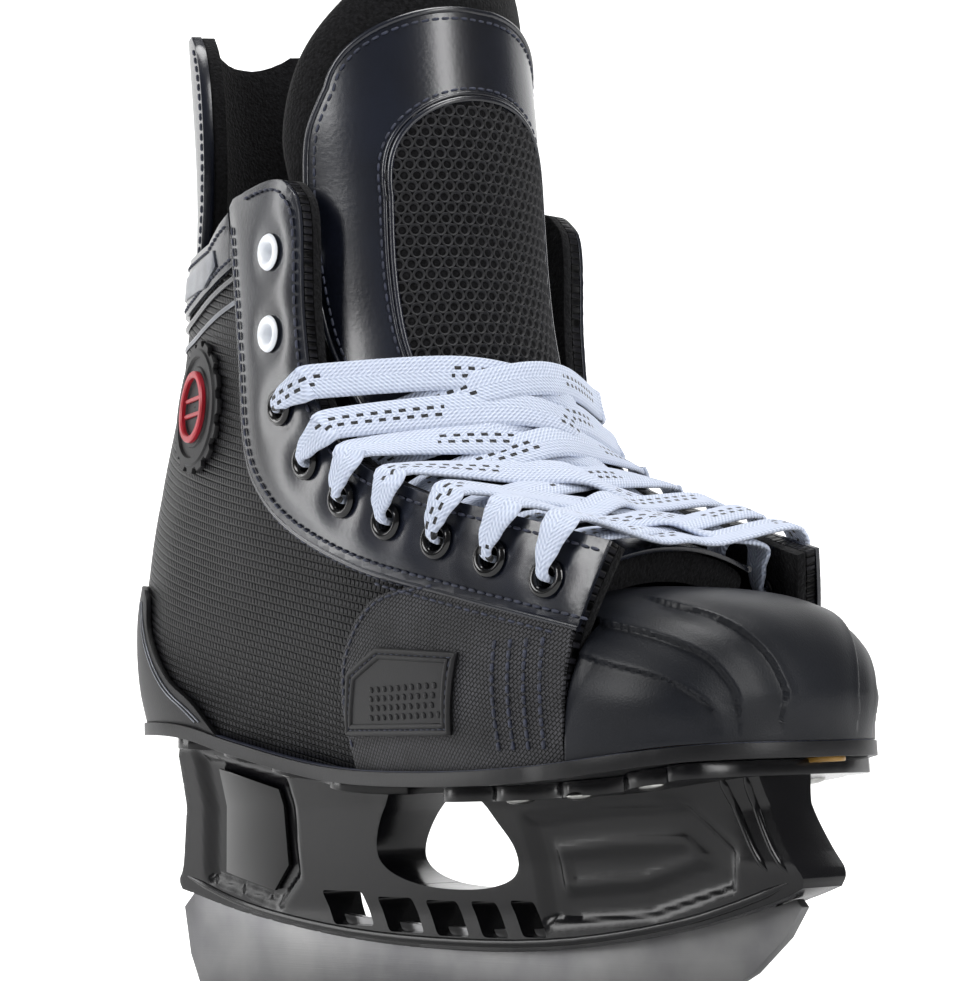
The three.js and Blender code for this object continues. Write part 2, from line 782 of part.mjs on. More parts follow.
// Half widths of the towers in front view, wider at the front; moved in by a distance.
function towerWidths(topHalf, inset) {
  const low = Math.min(...railLine.map(([, z]) => z));
  const rise = gz(88) - low;
  const rows = [
    [railHalf, -0.1],
    [railHalf, 0.16],
    [railHalf + 2.5, 0.38],
    [railHalf + 0.42 * (topHalf - railHalf), 0.62],
    [topHalf, 0.86],
    [topHalf + 1, 1.1],
  ].map(([half, share]) => [half - inset, low + share * rise]);
  return [...rows, ...rows.map(([y, z]) => [-y, z]).reverse()];
}
const [rearTopHalf, frontTopHalf] = [gy(18), gy(25)];
const longX = gx(170);
const rearWidth = (inset) => frontPrism(towerWidths(rearTopHalf, inset), -longX, gx(16));
const frontWidth = (inset) => frontPrism(towerWidths(frontTopHalf, inset), gx(4), longX);

// Flanges: two plates under the sole, with the towers standing on them.
function flange(from, to, half) {
  const outline = [
    [from, -half * 0.72],
    [from + 12, -half],
    [to - 16, -half],
    [to, -half * 0.6],
    [to, half * 0.6],
    [to - 16, half],
    [from + 12, half],
    [from, half * 0.72],
  ];
  const low = -outsoleWall - clearance - holderFlange;
  return planPrism(outline, 0, gz(120)).intersect(soleBand(low, -outsoleWall - clearance));
}
const rearFlange = flange(gx(-119), gx(-14), gy(26));
const frontFlange = flange(gx(22), gx(137), gy(37));
const rearBody = sidePrism(rearTower, -wide, wide).intersect(rearWidth(0));
const frontBody = sidePrism(frontTower, -wide, wide).intersect(frontWidth(0));
let holder = rearBody.add(frontBody).add(rearFlange).add(frontFlange);

// Five slots above the rail, leaning back.
const slotSpans = [
  [-59, -40],
  [-33, -17],
  [-11, 3],
  [9, 20],
  [26, 36],
];
for (const [from, to] of slotSpans) {
  const [a, b] = [gx(from), gx(to)];
  const outline = [
    [a - 1, railAt(a) + slotFoot],
    [b - 2, railAt(b) + slotFoot],
    [b + 1, railAt(b) + slotFoot + slotHeight],
    [a + 2, railAt(a) + slotFoot + slotHeight],
  ];
  holder = holder.subtract(sidePrism(outline, -wide, wide));
}

// Sunk panels on the tower sides; the rear ones hold glossy inserts.
const rearRecess = inHolder([
  [-119, 0.14],
  [-84, 0.1],
  [-72, 0.3],
  [-69, 0.86],
  [-110, 0.9],
]);
const frontRecess = inHolder([
  [40, 0.16],
  [85, 0.14],
  [124, 0.2],
  [126, 0.42],
  [108, 0.78],
  [38, 0.72],
]);
holder = holder.subtract(sidePrism(rearRecess, -wide, wide).subtract(rearWidth(recessDepth)));
holder = holder.subtract(sidePrism(frontRecess, -wide, wide).subtract(frontWidth(recessDepth)));
const insertOutline = inHolder([
  [-110, 0.2],
  [-86, 0.17],
  [-77, 0.34],
  [-75, 0.78],
  [-102, 0.82],
]);
const insertOuter = recessDepth - clearance - insertWall;
const insertLayer = rearWidth(insertOuter).subtract(rearWidth(recessDepth - clearance));
for (const [name, side] of sides) {
  const [from, to] = side < 0 ? [-wide, 0] : [0, wide];
  const made = insertLayer.intersect(sidePrism(insertOutline, from, to));
  add(name + "_tower_insert", made.decompose().sort((a, b) => b.volume() - a.volume())[0], "insertPlastic");
}

// ---- Runner, moulded into a slot of the rail ----
const runnerRear = gx(-126);
const runnerFront = gx(121);
const runnerTop = railLine
  .filter(([x]) => x > runnerRear && x < runnerFront)
  .map(([x, z]) => [x, z + runnerDepth])
  .reverse();
const showShare = runnerShow / baseShow;
const glide = [
  [-141, 30],
  [-138, 15],
  [-133, 5.5],
  [-124, 1],
  [-112, 0],
  [30, 0],
  [56, 1.4],
  [78, 4.8],
  [97, 11],
  [112, 18.5],
  [124, 28],
  [130, 36],
].map(([x, z]) => [gx(x), z * showShare]);
const shoulder = (x) => [x, railAt(x) - clearance];
const runnerOutline = [
  ...glide,
  shoulder(gx(128)),
  shoulder(runnerFront),
  ...runnerTop,
  shoulder(runnerRear),
  shoulder(gx(-134)),
];
const slotOutline = [
  [runnerRear - clearance, railAt(runnerRear) - 20],
  [runnerFront + clearance, railAt(runnerFront) - 20],
  [runnerFront + clearance, railAt(runnerFront) + runnerDepth + clearance],
  ...runnerTop.map(([x, z]) => [x, z + clearance]),
  [runnerRear - clearance, railAt(runnerRear) + runnerDepth + clearance],
];
const slotHalf = runnerThick / 2 + clearance;
holder = holder.subtract(sidePrism(slotOutline, -slotHalf, slotHalf));
add("runner", sidePrism(runnerOutline, -runnerThick / 2, runnerThick / 2), "steel");

// ---- Rivets through the flanges and the outsole ----
let outsole = solePrism(outsoleLip).intersect(soleBand(-outsoleWall, 0));
const rivetSpots = [
  ["rear", -82, 20],
  ["ball", 56, 31],
  ["toe", 106, 30],
];
for (const [side, sign] of sides) {
  for (const [place, x, y] of rivetSpots) {
    const spot = vec(gx(x), sign * gy(y), soleAt(gx(x)) - outsoleWall - clearance - holderFlange);
    const axis = vec(soleAt(spot.x - 1) - soleAt(spot.x + 1), 0, 2).normalize();
    const length = holderFlange + clearance + outsoleWall - 0.2;
    const profile = [
      [0, rivetSeat - clearance - rivetHead],
      [rivetAcross / 2 - 1.6, rivetSeat - clearance - rivetHead],
      [rivetAcross / 2, rivetSeat - clearance],
      [rivetShank / 2, rivetSeat - clearance],
      [rivetShank / 2, length],
      [0, length],
    ];
    const reach = (from, to, radius) =>
      bar(radius, spot.clone().addScaledVector(axis, from), spot.clone().addScaledVector(axis, to), 8);
    const hole = reach(-2, length + 4, rivetShank / 2 + clearance);
    const notch = reach(-14, rivetSeat, rivetAcross / 2 + 1);
    holder = holder.subtract(hole).subtract(notch);
    outsole = outsole.subtract(hole);
    add(side + "_" + place + "_rivet", turned(profile, spot, axis, 8), "steel");
  }
}
add("blade_holder", holder, "holderPlastic");
add("outsole", outsole, "solePlastic");

// ---- Lace: one flat ribbon through the eyelets, in from the outside, crossed over the tongue ----
const bySide = new Map(sides.map(([name, side]) => [side, eyelets.get(name)]));
function nearestEdge([x, z]) {
  const distance = ([a, b]) => Math.hypot(a - x, b - z);
  return curved(facingFront, 80).reduce((best, p) => (distance(p) < distance(best) ? p : best));
}
const tongueT = ([x, z]) => {
  let best = 0;
  let least = Infinity;
  for (let t = 0; t < fold; t += 0.02) {
    const centre = tongueLine(t);
    const ahead = tongueLine(t + 0.02).sub(centre).normalize();
    const off = Math.abs((x - centre.x) * ahead.x + (z - centre.z) * ahead.z);
    if (off < least) [best, least] = [t, off];
  }
  return best;
};
// What the lace needs at an eyelet: its spot, the facing's edge beside it and the directions there.
function lacePlace(k, side) {
  const spot = bySide.get(side)[k];
  const edgeXZ = nearestEdge(eyeletSpots[k]);
  const edge = onBoot(edgeXZ[0], edgeXZ[1], side);
  const toEdge = edge.place.clone().sub(spot.place).normalize();
  const width = toEdge.clone().cross(spot.normal).multiplyScalar(side).normalize();
  return { spot, edge, toEdge, width, t: tongueT(edgeXZ), side };
}
const flat = [laceWidth / 2, laceThick / 2];
const gathered = [laceInBore / 2, laceThick * 0.55];
const halfGathered = [laceWidth * 0.36, laceThick / 2];
const knot = (point, width, size) => ({ point, width, size });
// From inside the eyelet to its outside and over the facing's edge, for a strand that leaves it that way.
function overFacing(at) {
  const { spot, edge, toEdge, width } = at;
  const middle = spot.place.clone().lerp(edge.place, 0.55);
  const lift = trimOuter + laceThick + 2;
  return [
    knot(along(spot, 0), width, gathered),
    knot(along(spot, trimOuter + 1.6), width, gathered),
    knot(along(spot, trimOuter + 3.6).addScaledVector(toEdge, 1.8), width, gathered),
    knot(middle.addScaledVector(spot.normal, lift + 1), width, halfGathered),
    knot(along(edge, lift).addScaledVector(toEdge, 0.4), width, flat),
    knot(along(edge, -1).addScaledVector(toEdge, 4.2), width, flat),
  ];
}
function underFacing(at) {
  const { spot, edge, toEdge, width } = at;
  const middle = spot.place.clone().lerp(edge.place, 0.5);
  const under = liningInner - laceThick - 1.9;
  return [
    knot(along(spot, liningInner - 2.4), width, gathered),
    knot(middle.addScaledVector(spot.normal, under), width, halfGathered),
    knot(along(edge, under).addScaledVector(toEdge, 0.5), width, flat),
  ];
}
// Across the tongue between two places, with its height above the tongue at five shares of the way.
function acrossTongue(from, to, heights) {
  return heights.map((height, k) => {
    const f = (k + 1) / (heights.length + 1);
    const reach = 0.78 * (1 - 2 * f) * from.side;
    const t = from.t + (to.t - from.t) * f;
    const width = onTongue(t - 0.06, reach, height).sub(onTongue(t + 0.06, reach, height)).normalize();
    if (width.dot(from.width) < 0) width.negate();
    return knot(onTongue(t, reach, height), width, flat);
  });
}
function strand(startSide, middleHeight) {
  const knots = [];
  let side = startSide;
  for (let k = eyeletSpots.length - 1; k >= firstLaced; k--) {
    const from = lacePlace(k, side);
    const to = lacePlace(k - 1, -side);
    knots.push(...underFacing(from));
    knots.push(...acrossTongue(from, to, [3.6, middleHeight, 3.9]));
    knots.push(...overFacing(to).reverse());
    side = -side;
  }
  const last = lacePlace(firstLaced - 1, side);
  const inside = liningInner - laceThick - 2.4;
  knots.push(knot(along(last.spot, inside), last.width, gathered));
  for (const drop of [8, 18, 30]) {
    const { place, normal } = onBoot(last.spot.place.x - drop * 0.5, last.spot.place.z - drop, side);
    const size = drop === 30 ? [laceInBore * 0.36, laceInBore * 0.36] : halfGathered;
    knots.push(knot(place.addScaledVector(normal, inside), last.toEdge.clone().negate(), size));
  }
  return knots;
}
const lastEyelet = eyeletSpots.length - 1;
const [barFrom, barTo] = [lacePlace(lastEyelet, 1), lacePlace(lastEyelet, -1)];
const bottomBar = [
  ...overFacing(barFrom),
  ...acrossTongue(barFrom, barTo, [3, 2.4, 3]),
  ...overFacing(barTo).reverse(),
];
const laceKnots = [...strand(1, 4.6).reverse(), ...bottomBar, ...strand(-1, 2.8)];
const ringsPerLength = 4;
function ribbon(knots, steps) {
  const curve = new THREE.CatmullRomCurve3(knots.map((k) => k.point));
  const count = (knots.length - 1) * steps;
  const rings = [];
  let previous;
  for (let i = 0; i <= count; i++) {
    const f = i / count;
    const at = f * (knots.length - 1);
    const k = Math.min(Math.floor(at), knots.length - 2);
    const mix = at - k;
    const point = curve.getPoint(f);
    const tangent = curve.getTangent(f);
    const width = knots[k].width.clone().lerp(knots[k + 1].width, mix);
    if (previous && width.dot(previous) < 0) width.negate();
    width.addScaledVector(tangent, -width.dot(tangent)).normalize();
    previous = width.clone();
    const normal = tangent.clone().cross(width);
    const [half, thick] = [0, 1].map((c) => knots[k].size[c] * (1 - mix) + knots[k + 1].size[c] * mix);
    rings.push(
      [
        [-1, -1],
        [1, -1],
        [1, 1],
        [-1, 1],
      ].map(([a, b]) => point.clone().addScaledVector(width, a * half).addScaledVector(normal, b * thick)),
    );
  }
  // Joined length by length, because strands press into each other where they cross.
  const lengths = [];
  for (let i = 0; i < count; i += ringsPerLength) {
    lengths.push(loftSolid(rings.slice(i, i + ringsPerLength + 1)));
  }
  return lengths.reduce((joined, length) => joined.add(length));
}
add("lace", ribbon(laceKnots, 2), "laceWhite");

export default group;
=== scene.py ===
import math

import bmesh
import bpy
import numpy as np
from mathutils import Matrix, Vector


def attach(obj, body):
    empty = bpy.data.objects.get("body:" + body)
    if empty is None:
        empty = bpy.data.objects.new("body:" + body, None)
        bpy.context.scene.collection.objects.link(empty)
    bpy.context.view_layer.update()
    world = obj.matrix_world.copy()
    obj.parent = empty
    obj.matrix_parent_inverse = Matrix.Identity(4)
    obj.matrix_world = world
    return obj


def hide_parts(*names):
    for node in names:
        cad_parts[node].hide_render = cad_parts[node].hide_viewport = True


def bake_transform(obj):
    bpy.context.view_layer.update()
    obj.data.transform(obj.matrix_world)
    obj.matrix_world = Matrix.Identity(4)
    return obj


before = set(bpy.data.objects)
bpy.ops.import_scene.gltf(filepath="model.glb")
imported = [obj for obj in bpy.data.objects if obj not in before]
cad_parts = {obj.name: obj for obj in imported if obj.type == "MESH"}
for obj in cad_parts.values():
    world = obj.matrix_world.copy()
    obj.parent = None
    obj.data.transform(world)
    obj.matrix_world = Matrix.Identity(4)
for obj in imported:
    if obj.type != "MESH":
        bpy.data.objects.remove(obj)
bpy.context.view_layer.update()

# Lengths below are millimetres, as in the CAD part; meshes are made in metres.
metre = 0.001
outerSide, innerSide = -1, 1
sideNames = {outerSide: "right", innerSide: "left"}


# Helpers for numbers, meshes and modifiers.
def ease(value, low, high):
    f = max(0.0, min(1.0, (value - low) / (high - low)))
    return f * f * (3 - 2 * f)


def linked(name, data):
    obj = bpy.data.objects.new(name, data)
    bpy.context.scene.collection.objects.link(obj)
    return obj


# A mesh from places in millimetres; its map, where it has one, is for woven looks.
def makeMesh(name, points, faces, uvs=None):
    mesh = bpy.data.meshes.new(name)
    mesh.from_pydata([tuple(Vector(p) * metre) for p in points], [], faces)
    if uvs:
        layer = mesh.uv_layers.new(name="weave")
        for loop in mesh.loops:
            layer.data[loop.index].uv = uvs[loop.vertex_index]
    return linked(name, mesh)


def choose(obj):
    bpy.ops.object.select_all(action="DESELECT")
    obj.select_set(True)
    bpy.context.view_layer.objects.active = obj


def applyModifier(obj, kind, settings):
    choose(obj)
    modifier = obj.modifiers.new(kind.lower(), kind)
    for key, value in settings.items():
        setattr(modifier, key, value)
    bpy.ops.object.modifier_apply(modifier=modifier.name)


def softenEdges(obj, width, segments=2, angle=40):
    settings = {"width": width * metre, "segments": segments, "limit_method": "ANGLE"}
    settings["angle_limit"] = math.radians(angle)
    applyModifier(obj, "BEVEL", settings)


def smoothByAngle(obj, angle=45):
    choose(obj)
    bpy.ops.object.shade_smooth_by_angle(angle=math.radians(angle))


# Opens the whole of a mesh for the mesh operators.
def openMesh(obj):
    choose(obj)
    bpy.ops.object.mode_set(mode="EDIT")
    bpy.ops.mesh.select_all(action="SELECT")


def closeMesh():
    bpy.ops.object.mode_set(mode="OBJECT")


def facesOut(obj):
    openMesh(obj)
    bpy.ops.mesh.normals_make_consistent(inside=False)
    closeMesh()


# Cuts a flat grid along a line across one axis.
def cutAcross(grid, axis, at):
    middle, across = [0, 0, 0], [0, 0, 0]
    middle[axis], across[axis] = at, 1
    everything = grid.verts[:] + grid.edges[:] + grid.faces[:]
    bmesh.ops.bisect_plane(grid, geom=everything, plane_co=middle, plane_no=across)


# The quads of a tube closed both ways, with its places ring after ring.
def tubeFaces(count, around):
    faces = []
    for i in range(count):
        for k in range(around):
            j, n = (i + 1) % count, (k + 1) % around
            faces.append([i * around + k, i * around + n, j * around + n, j * around + k])
    return faces


def turnedTo(axis):
    return Vector((0, 0, 1)).rotation_difference(axis).to_matrix().to_4x4()


# A flattened ball that stands on a place.
def dome(spot, axis, radius, flatness, segments, rings):
    bpy.ops.object.select_all(action="DESELECT")
    bpy.ops.mesh.primitive_uv_sphere_add(segments=segments, ring_count=rings, radius=radius * metre)
    made = bpy.context.object
    squashed = Matrix.Diagonal((1, 1, flatness, 1))
    made.data.transform(Matrix.Translation(spot * metre) @ turnedTo(axis) @ squashed)
    bpy.ops.object.shade_smooth()
    return made


# The value at a place along a line of (place, value) pairs.
def alongLine(points, at):
    k = 0
    while k < len(points) - 2 and points[k + 1][0] < at:
        k += 1
    (xa, za), (xb, zb) = points[k], points[k + 1]
    return za + (zb - za) * (at - xa) / (xb - xa)


def joined(name, pieces):
    bpy.ops.object.select_all(action="DESELECT")
    for piece in pieces:
        piece.select_set(True)
    bpy.context.view_layer.objects.active = pieces[0]
    bpy.ops.object.join()
    pieces[0].name = name
    return pieces[0]


# Gives a piece its look and body, and hides the CAD nodes it stands for.
def place(obj, material, body="boot", replaced=()):
    obj.data.materials.clear()
    obj.data.materials.append(material)
    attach(obj, body)
    if replaced:
        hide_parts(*replaced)
    return obj


# Turns an sRGB hex colour into linear values.
def linear(hexColour):
    values = [int(hexColour[k : k + 2], 16) / 255 for k in (1, 3, 5)]
    return [v / 12.92 if v <= 0.04045 else ((v + 0.055) / 1.055) ** 2.4 for v in values] + [1]


def addNode(tree, kind, settings=None, links=None):
    made = tree.nodes.new(kind)
    for key, value in (settings or {}).items():
        setattr(made, key, value)
    for key, value in (links or {}).items():
        if isinstance(value, bpy.types.NodeSocket):
            tree.links.new(value, made.inputs[key])
        else:
            made.inputs[key].default_value = value
    return made


def newMaterial(name, roughness, settings=None):
    material = bpy.data.materials.new(name)
    material.use_nodes = True
    tree = material.node_tree
    shader = tree.nodes["Principled BSDF"]
    shader.inputs["Roughness"].default_value = roughness
    for key, value in (settings or {}).items():
        shader.inputs[key].default_value = value
    return material, tree, shader


# A colour that drifts between two tones, in patches of a size in millimetres.
def mottled(tree, shader, dark, light, patch):
    where = addNode(tree, "ShaderNodeTexCoord").outputs["Object"]
    noise = addNode(tree, "ShaderNodeTexNoise", None, {
        "Vector": where, "Scale": 1000 / patch, "Detail": 4})
    ramp = addNode(tree, "ShaderNodeValToRGB", None, {"Fac": noise.outputs["Fac"]})
    for stop, (position, colour) in zip(ramp.color_ramp.elements, ((0.35, dark), (0.65, light))):
        stop.position = position
        stop.color = linear(colour)
    tree.links.new(ramp.outputs["Color"], shader.inputs["Base Color"])
    return where


# Fine relief with grains of a size in millimetres; other relief can lie under it.
def grained(tree, shader, where, grain, depth, strength=1, under=None):
    noise = addNode(tree, "ShaderNodeTexNoise", None, {
        "Vector": where, "Scale": 1000 / grain, "Detail": 3})
    links = {"Height": noise.outputs["Fac"], "Distance": depth * metre, "Strength": strength}
    if under:
        links["Normal"] = under
    bump = addNode(tree, "ShaderNodeBump", None, links)
    tree.links.new(bump.outputs["Normal"], shader.inputs["Normal"])
    return bump.outputs["Normal"]


def plainMaterial(name, dark, light, patch, roughness, grain, depth, settings=None):
    material, tree, shader = newMaterial(name, roughness, settings)
    where = mottled(tree, shader, dark, light, patch)
    grained(tree, shader, where, grain, depth)
    return material


# Woven or embossed cloth: blocks of a width and height in millimetres on the piece's own map. The seams
# between the blocks are darkened in the colour as painted shade.
def blockMaterial(name, dark, light, block, roughness, depth, turn, mortar, settings=None):
    material, tree, shader = newMaterial(name, roughness, settings)
    where = mottled(tree, shader, dark, light, 14)
    sewn = addNode(tree, "ShaderNodeUVMap", {"uv_map": "weave"}).outputs["UV"]
    turned = addNode(tree, "ShaderNodeMapping", None, {
        "Vector": sewn, "Rotation": (0, 0, math.radians(turn))})
    bricks = addNode(tree, "ShaderNodeTexBrick", {"offset": 0.5}, {
        "Vector": turned.outputs["Vector"], "Scale": 1, "Brick Width": block[0], "Row Height": block[1],
        "Mortar Size": mortar, "Mortar Smooth": 0.9, "Color1": (1, 1, 1, 1), "Color2": (0.86, 0.86, 0.86, 1),
        "Mortar": (0, 0, 0, 1)})
    bump = addNode(tree, "ShaderNodeBump", None, {
        "Height": bricks.outputs["Color"], "Distance": depth * metre, "Strength": 1})
    grained(tree, shader, where, 0.5, 0.03, 0.5, bump.outputs["Normal"])
    tone = tree.nodes["Color Ramp"].outputs["Color"]
    # The bricks' black mortar is multiplied into the colour: painted shade in the seams between blocks.
    groove = addNode(tree, "ShaderNodeMix", {"data_type": "RGBA", "blend_type": "MULTIPLY"}, {"Factor": 1.0})
    tree.links.new(tone, groove.inputs[6])
    tree.links.new(bricks.outputs["Color"], groove.inputs[7])
    tree.links.new(groove.outputs[2], shader.inputs["Base Color"])
    return material


# Polyester lace, flat braided: pale blue grey, with chevrons of thread that break the light into fine
# ribs, and stretches of dark tracer dashes near its edges, the two sides out of step.
def laceMaterial():
    material, tree, shader = newMaterial("polyester lace, flat braided", 0.85, {"Sheen Weight": 0.25})
    tracer = {"inset": 1.2, "half": 0.58, "period": 4.0, "share": 0.5, "every": 74}
    braidPitch, ribPitch = 1.5, 1.1
    sewn = addNode(tree, "ShaderNodeUVMap", {"uv_map": "weave"}).outputs["UV"]
    parts = addNode(tree, "ShaderNodeSeparateXYZ", None, {"Vector": sewn})

    def maths(operation, first, second=0.0):
        made = addNode(tree, "ShaderNodeMath", {"operation": operation}, {0: first, 1: second})
        return made.outputs[0]

    across, along = parts.outputs["X"], parts.outputs["Y"]
    away = maths("ABSOLUTE", across)
    chevron = maths("ADD", along, maths("MULTIPLY", away, 1.1))
    braid = maths("SINE", maths("MULTIPLY", chevron, 2 * math.pi / braidPitch))
    ribs = maths("SINE", maths("MULTIPLY", across, 2 * math.pi / ribPitch))
    height = maths("ADD", braid, maths("MULTIPLY", ribs, 0.6))
    bump = addNode(tree, "ShaderNodeBump", None, {
        "Height": height, "Distance": 0.12 * metre, "Strength": 0.9})
    tree.links.new(bump.outputs["Normal"], shader.inputs["Normal"])
    fromMiddle = maths("ABSOLUTE", maths("SUBTRACT", away, tracer["inset"]))
    near = maths("LESS_THAN", fromMiddle, tracer["half"])
    half = maths("MULTIPLY", maths("GREATER_THAN", across, 0.0), 0.5)
    phase = maths("FRACT", maths("ADD", maths("DIVIDE", along, tracer["period"]), half))
    shown = maths("LESS_THAN", maths("FRACT", maths("DIVIDE", along, tracer["every"])), 0.5)
    dash = maths("MULTIPLY", maths("MULTIPLY", near, shown), maths("LESS_THAN", phase, tracer["share"]))
    # The thread's colour follows the braid's relief: the troughs are painted darker and the ridges paler, as
    # painted shade and painted highlight.
    shade = addNode(tree, "ShaderNodeMapRange", None, {
        "Value": height, "From Min": -1.6, "From Max": 1.6})
    thread = addNode(tree, "ShaderNodeMix", {"data_type": "RGBA"}, {
        "Factor": shade.outputs["Result"], 6: linear("#a0aac0"), 7: linear("#cdd5e6")})
    colour = addNode(tree, "ShaderNodeMix", {"data_type": "RGBA"}, {
        "Factor": dash, 7: linear("#15161a")})
    tree.links.new(thread.outputs[2], colour.inputs[6])
    tree.links.new(colour.outputs[2], shader.inputs["Base Color"])
    return material


# Ground stainless steel: fine lines along the runner break its highlight up.
def brushedSteel():
    material, tree, shader = newMaterial("stainless steel, ground", 0.36, {"Metallic": 1})
    where = mottled(tree, shader, "#646466", "#7a7a7a", 30)
    lines = addNode(tree, "ShaderNodeMapping", None, {"Vector": where, "Scale": (12, 700, 900)})
    noise = addNode(tree, "ShaderNodeTexNoise", None, {
        "Vector": lines.outputs["Vector"], "Scale": 3, "Detail": 4})
    bump = addNode(tree, "ShaderNodeBump", None, {
        "Height": noise.outputs["Fac"], "Distance": 0.04 * metre, "Strength": 0.7})
    tree.links.new(bump.outputs["Normal"], shader.inputs["Normal"])
    return material


coat = {"Coat Weight": 0.25, "Coat Roughness": 0.22}
finishes = {
    # Smooth coated synthetic leather: a soft sheen with broad, slightly uneven highlights.
    "smoothPu": plainMaterial("PU leather, smooth", "#0b0d15", "#131722", 40, 0.27, 1.4, 0.05, coat),
    # The same leather pressed with a basket weave about 2 mm across: small dull bumps, with painted shade
    # darkening the seams between them.
    "embossedPu": blockMaterial(
        "PU leather, embossed", "#121215", "#1d1d21", (1.8, 2.1), 0.36, 1.0, 12, 0.5, {
            "Specular IOR Level": 0.11}),
    # Thick nylon yarn in a plain weave, about 1 mm from thread to thread: grey, with a slanting grain and
    # painted shade in the thin gaps between threads.
    "nylon": blockMaterial(
        "ballistic nylon, woven", "#2a2a2d", "#3c3c40", (1.5, 0.95), 0.6, 0.6, -38, 0.2, {
            "Specular IOR Level": 0.3}),
    # Pressed wool: nearly black and without a highlight, flecked with paler fibres.
    "felt": plainMaterial("wool felt, pressed", "#040405", "#141416", 1.2, 1.0, 0.9, 0.5, {
        "Sheen Weight": 0.06, "Specular IOR Level": 0.15}),
    # Brushed cloth over foam: an even, soft dark grey.
    "foam": plainMaterial("foam, brushed cover", "#1c1c20", "#28282c", 5, 0.95, 0.8, 0.2),
    # Moulded rubber: black, with a dull, spread highlight.
    "rubber": plainMaterial("rubber, moulded", "#0b0b0d", "#131316", 30, 0.5, 0.7, 0.04, {
        "Specular IOR Level": 0.3}),
    # Hard plastic from a spark-eroded mould: a fine grain that scatters the light into a satin sheen.
    "capPlastic": plainMaterial("ABS, spark eroded", "#0d0f14", "#15171d", 50, 0.42, 0.55, 0.06, {
        "Specular IOR Level": 0.24}),
    # Injection-moulded nylon: dark, with clear soft reflections.
    "holderPlastic": plainMaterial("nylon plastic, moulded", "#060608", "#0b0b0e", 60, 0.22, 2.5, 0.03, {
        "Specular IOR Level": 0.32}),
    # Polished acrylic: deep black with sharp reflections.
    "gloss": plainMaterial("acrylic, polished", "#070708", "#0b0b0d", 80, 0.08, 9, 0.01),
    # Moulded sole plastic: a matt black line under the boot.
    "solePlastic": plainMaterial("TPU, moulded", "#09090b", "#0f0f12", 40, 0.42, 0.8, 0.04, {
        "Specular IOR Level": 0.3}),
    # Moulded PVC: a saturated red with a small soft highlight.
    "red": plainMaterial("PVC, moulded red", "#8d0f18", "#a5182a", 12, 0.4, 0.8, 0.03),
    # White enamel on brass: bright, clean rings at the top of the lacing.
    "whiteEnamel": plainMaterial("brass, white enamel", "#d9dde4", "#eceff3", 6, 0.3, 2, 0.02),
    # Black enamel on brass: dark rings picked out by a thin bright highlight.
    "blackEnamel": plainMaterial("brass, black enamel", "#050506", "#0b0b0d", 6, 0.16, 2, 0.02),
    # Bonded polyester thread: navy dashes a little paler than the leather.
    "thread": plainMaterial("polyester thread, navy", "#1b1e29", "#2c3145", 1, 0.6, 0.3, 0.05),
    # Knitted air mesh: dull near-black threads between open holes.
    "mesh": plainMaterial("polyester air mesh, knitted", "#07070a", "#121217", 1.2, 0.7, 0.5, 0.15),
    # Pressed fibreboard: warm brown with coarse flecks.
    "board": plainMaterial("fibreboard, pressed", "#6f5a3c", "#8f7850", 3, 0.9, 0.8, 0.1),
    # Reflective tape: grey with a half-metallic gleam.
    "reflective": plainMaterial("reflective tape, grey", "#4c4f56", "#666a72", 9, 0.28, 0.4, 0.04, {
        "Metallic": 0.5}),
    # Amber sole plastic: one small warm patch under the toe.
    "amber": plainMaterial("TPU, amber", "#8d6a2c", "#a8823c", 12, 0.4, 1, 0.03),
    # Nickel-plated steel: small bright domes.
    "rivetSteel": plainMaterial("steel, nickel plated", "#9b9b98", "#c2c2bf", 3, 0.25, 0.8, 0.03, {
        "Metallic": 1}),
    "steel": brushedSteel(),
    "lace": laceMaterial(),
}
print("materials made")

# The boot's outer surface, as the CAD part has it: rows of half widths at heights, and the sole's line.
stationShares = [0, 0.035, 0.13, 0.28, 0.46, 0.64, 0.82, 1]
stationFront = 104
lastRows = [
    (68, -134, [0, 17, 27, 30, 32, 39, 45, 43]),
    (95, -140, [0, 20, 31, 36, 42, 48.5, 51, 45]),
    (115, -141, [0, 21, 33, 40.5, 47, 51.5, 49.5, 42]),
    (135, -137.5, [0, 21, 33, 41.5, 49.5, 52, 47, 36.5]),
    (160, -130.5, [0, 20.5, 32.5, 43, 51.5, 51, 43, 30]),
    (195, -117, [0, 20.5, 32.5, 44.5, 53, 49.5, 39, 26]),
    (245, -108, [0, 20.5, 32.5, 46, 53.5, 49, 38, 25]),
    (312, -112, [0, 20.5, 32, 45, 53, 49, 38, 25]),
]
soleLine = [
    (-150, 89.5), (-100, 88.5), (-68, 82.5), (-20, 74.5), (35, 72.5), (85, 74), (122, 78), (150, 78.5),
]
wall = {"shell": 3, "lining": 3, "trim": 1.3, "patch": 1.6, "counter": 1.6, "gap": 0.3}
liningInner = -wall["shell"] - wall["gap"] - wall["lining"]
trimOuter = wall["gap"] + wall["trim"]


def spline(values, t, mirror=0):
    last = len(values) - 1
    i = max(0, min(int(math.floor(t)), last - 1))
    f = t - i

    def at(k):
        if k < 0:
            return mirror * values[1] if mirror else 2 * values[0] - values[1]
        return 2 * values[last] - values[last - 1] if k > last else values[k]

    a, b, c, d = at(i - 1), at(i), at(i + 1), at(i + 2)
    return b + 0.5 * f * (c - a + f * (2 * a - 5 * b + 4 * c - d + f * (3 * (b - c) + d - a)))


def curved(points, pieces):
    last = len(points) - 1
    made = []
    for k in range(pieces + 1):
        t = last * k / pieces
        made.append(tuple(spline([p[c] for p in points], t) for c in range(len(points[0]))))
    return made


# The toe swings a little to one side.
def swing(x):
    return 3 * max(0, (x - 20) / 120) ** 2


knownRows = {}


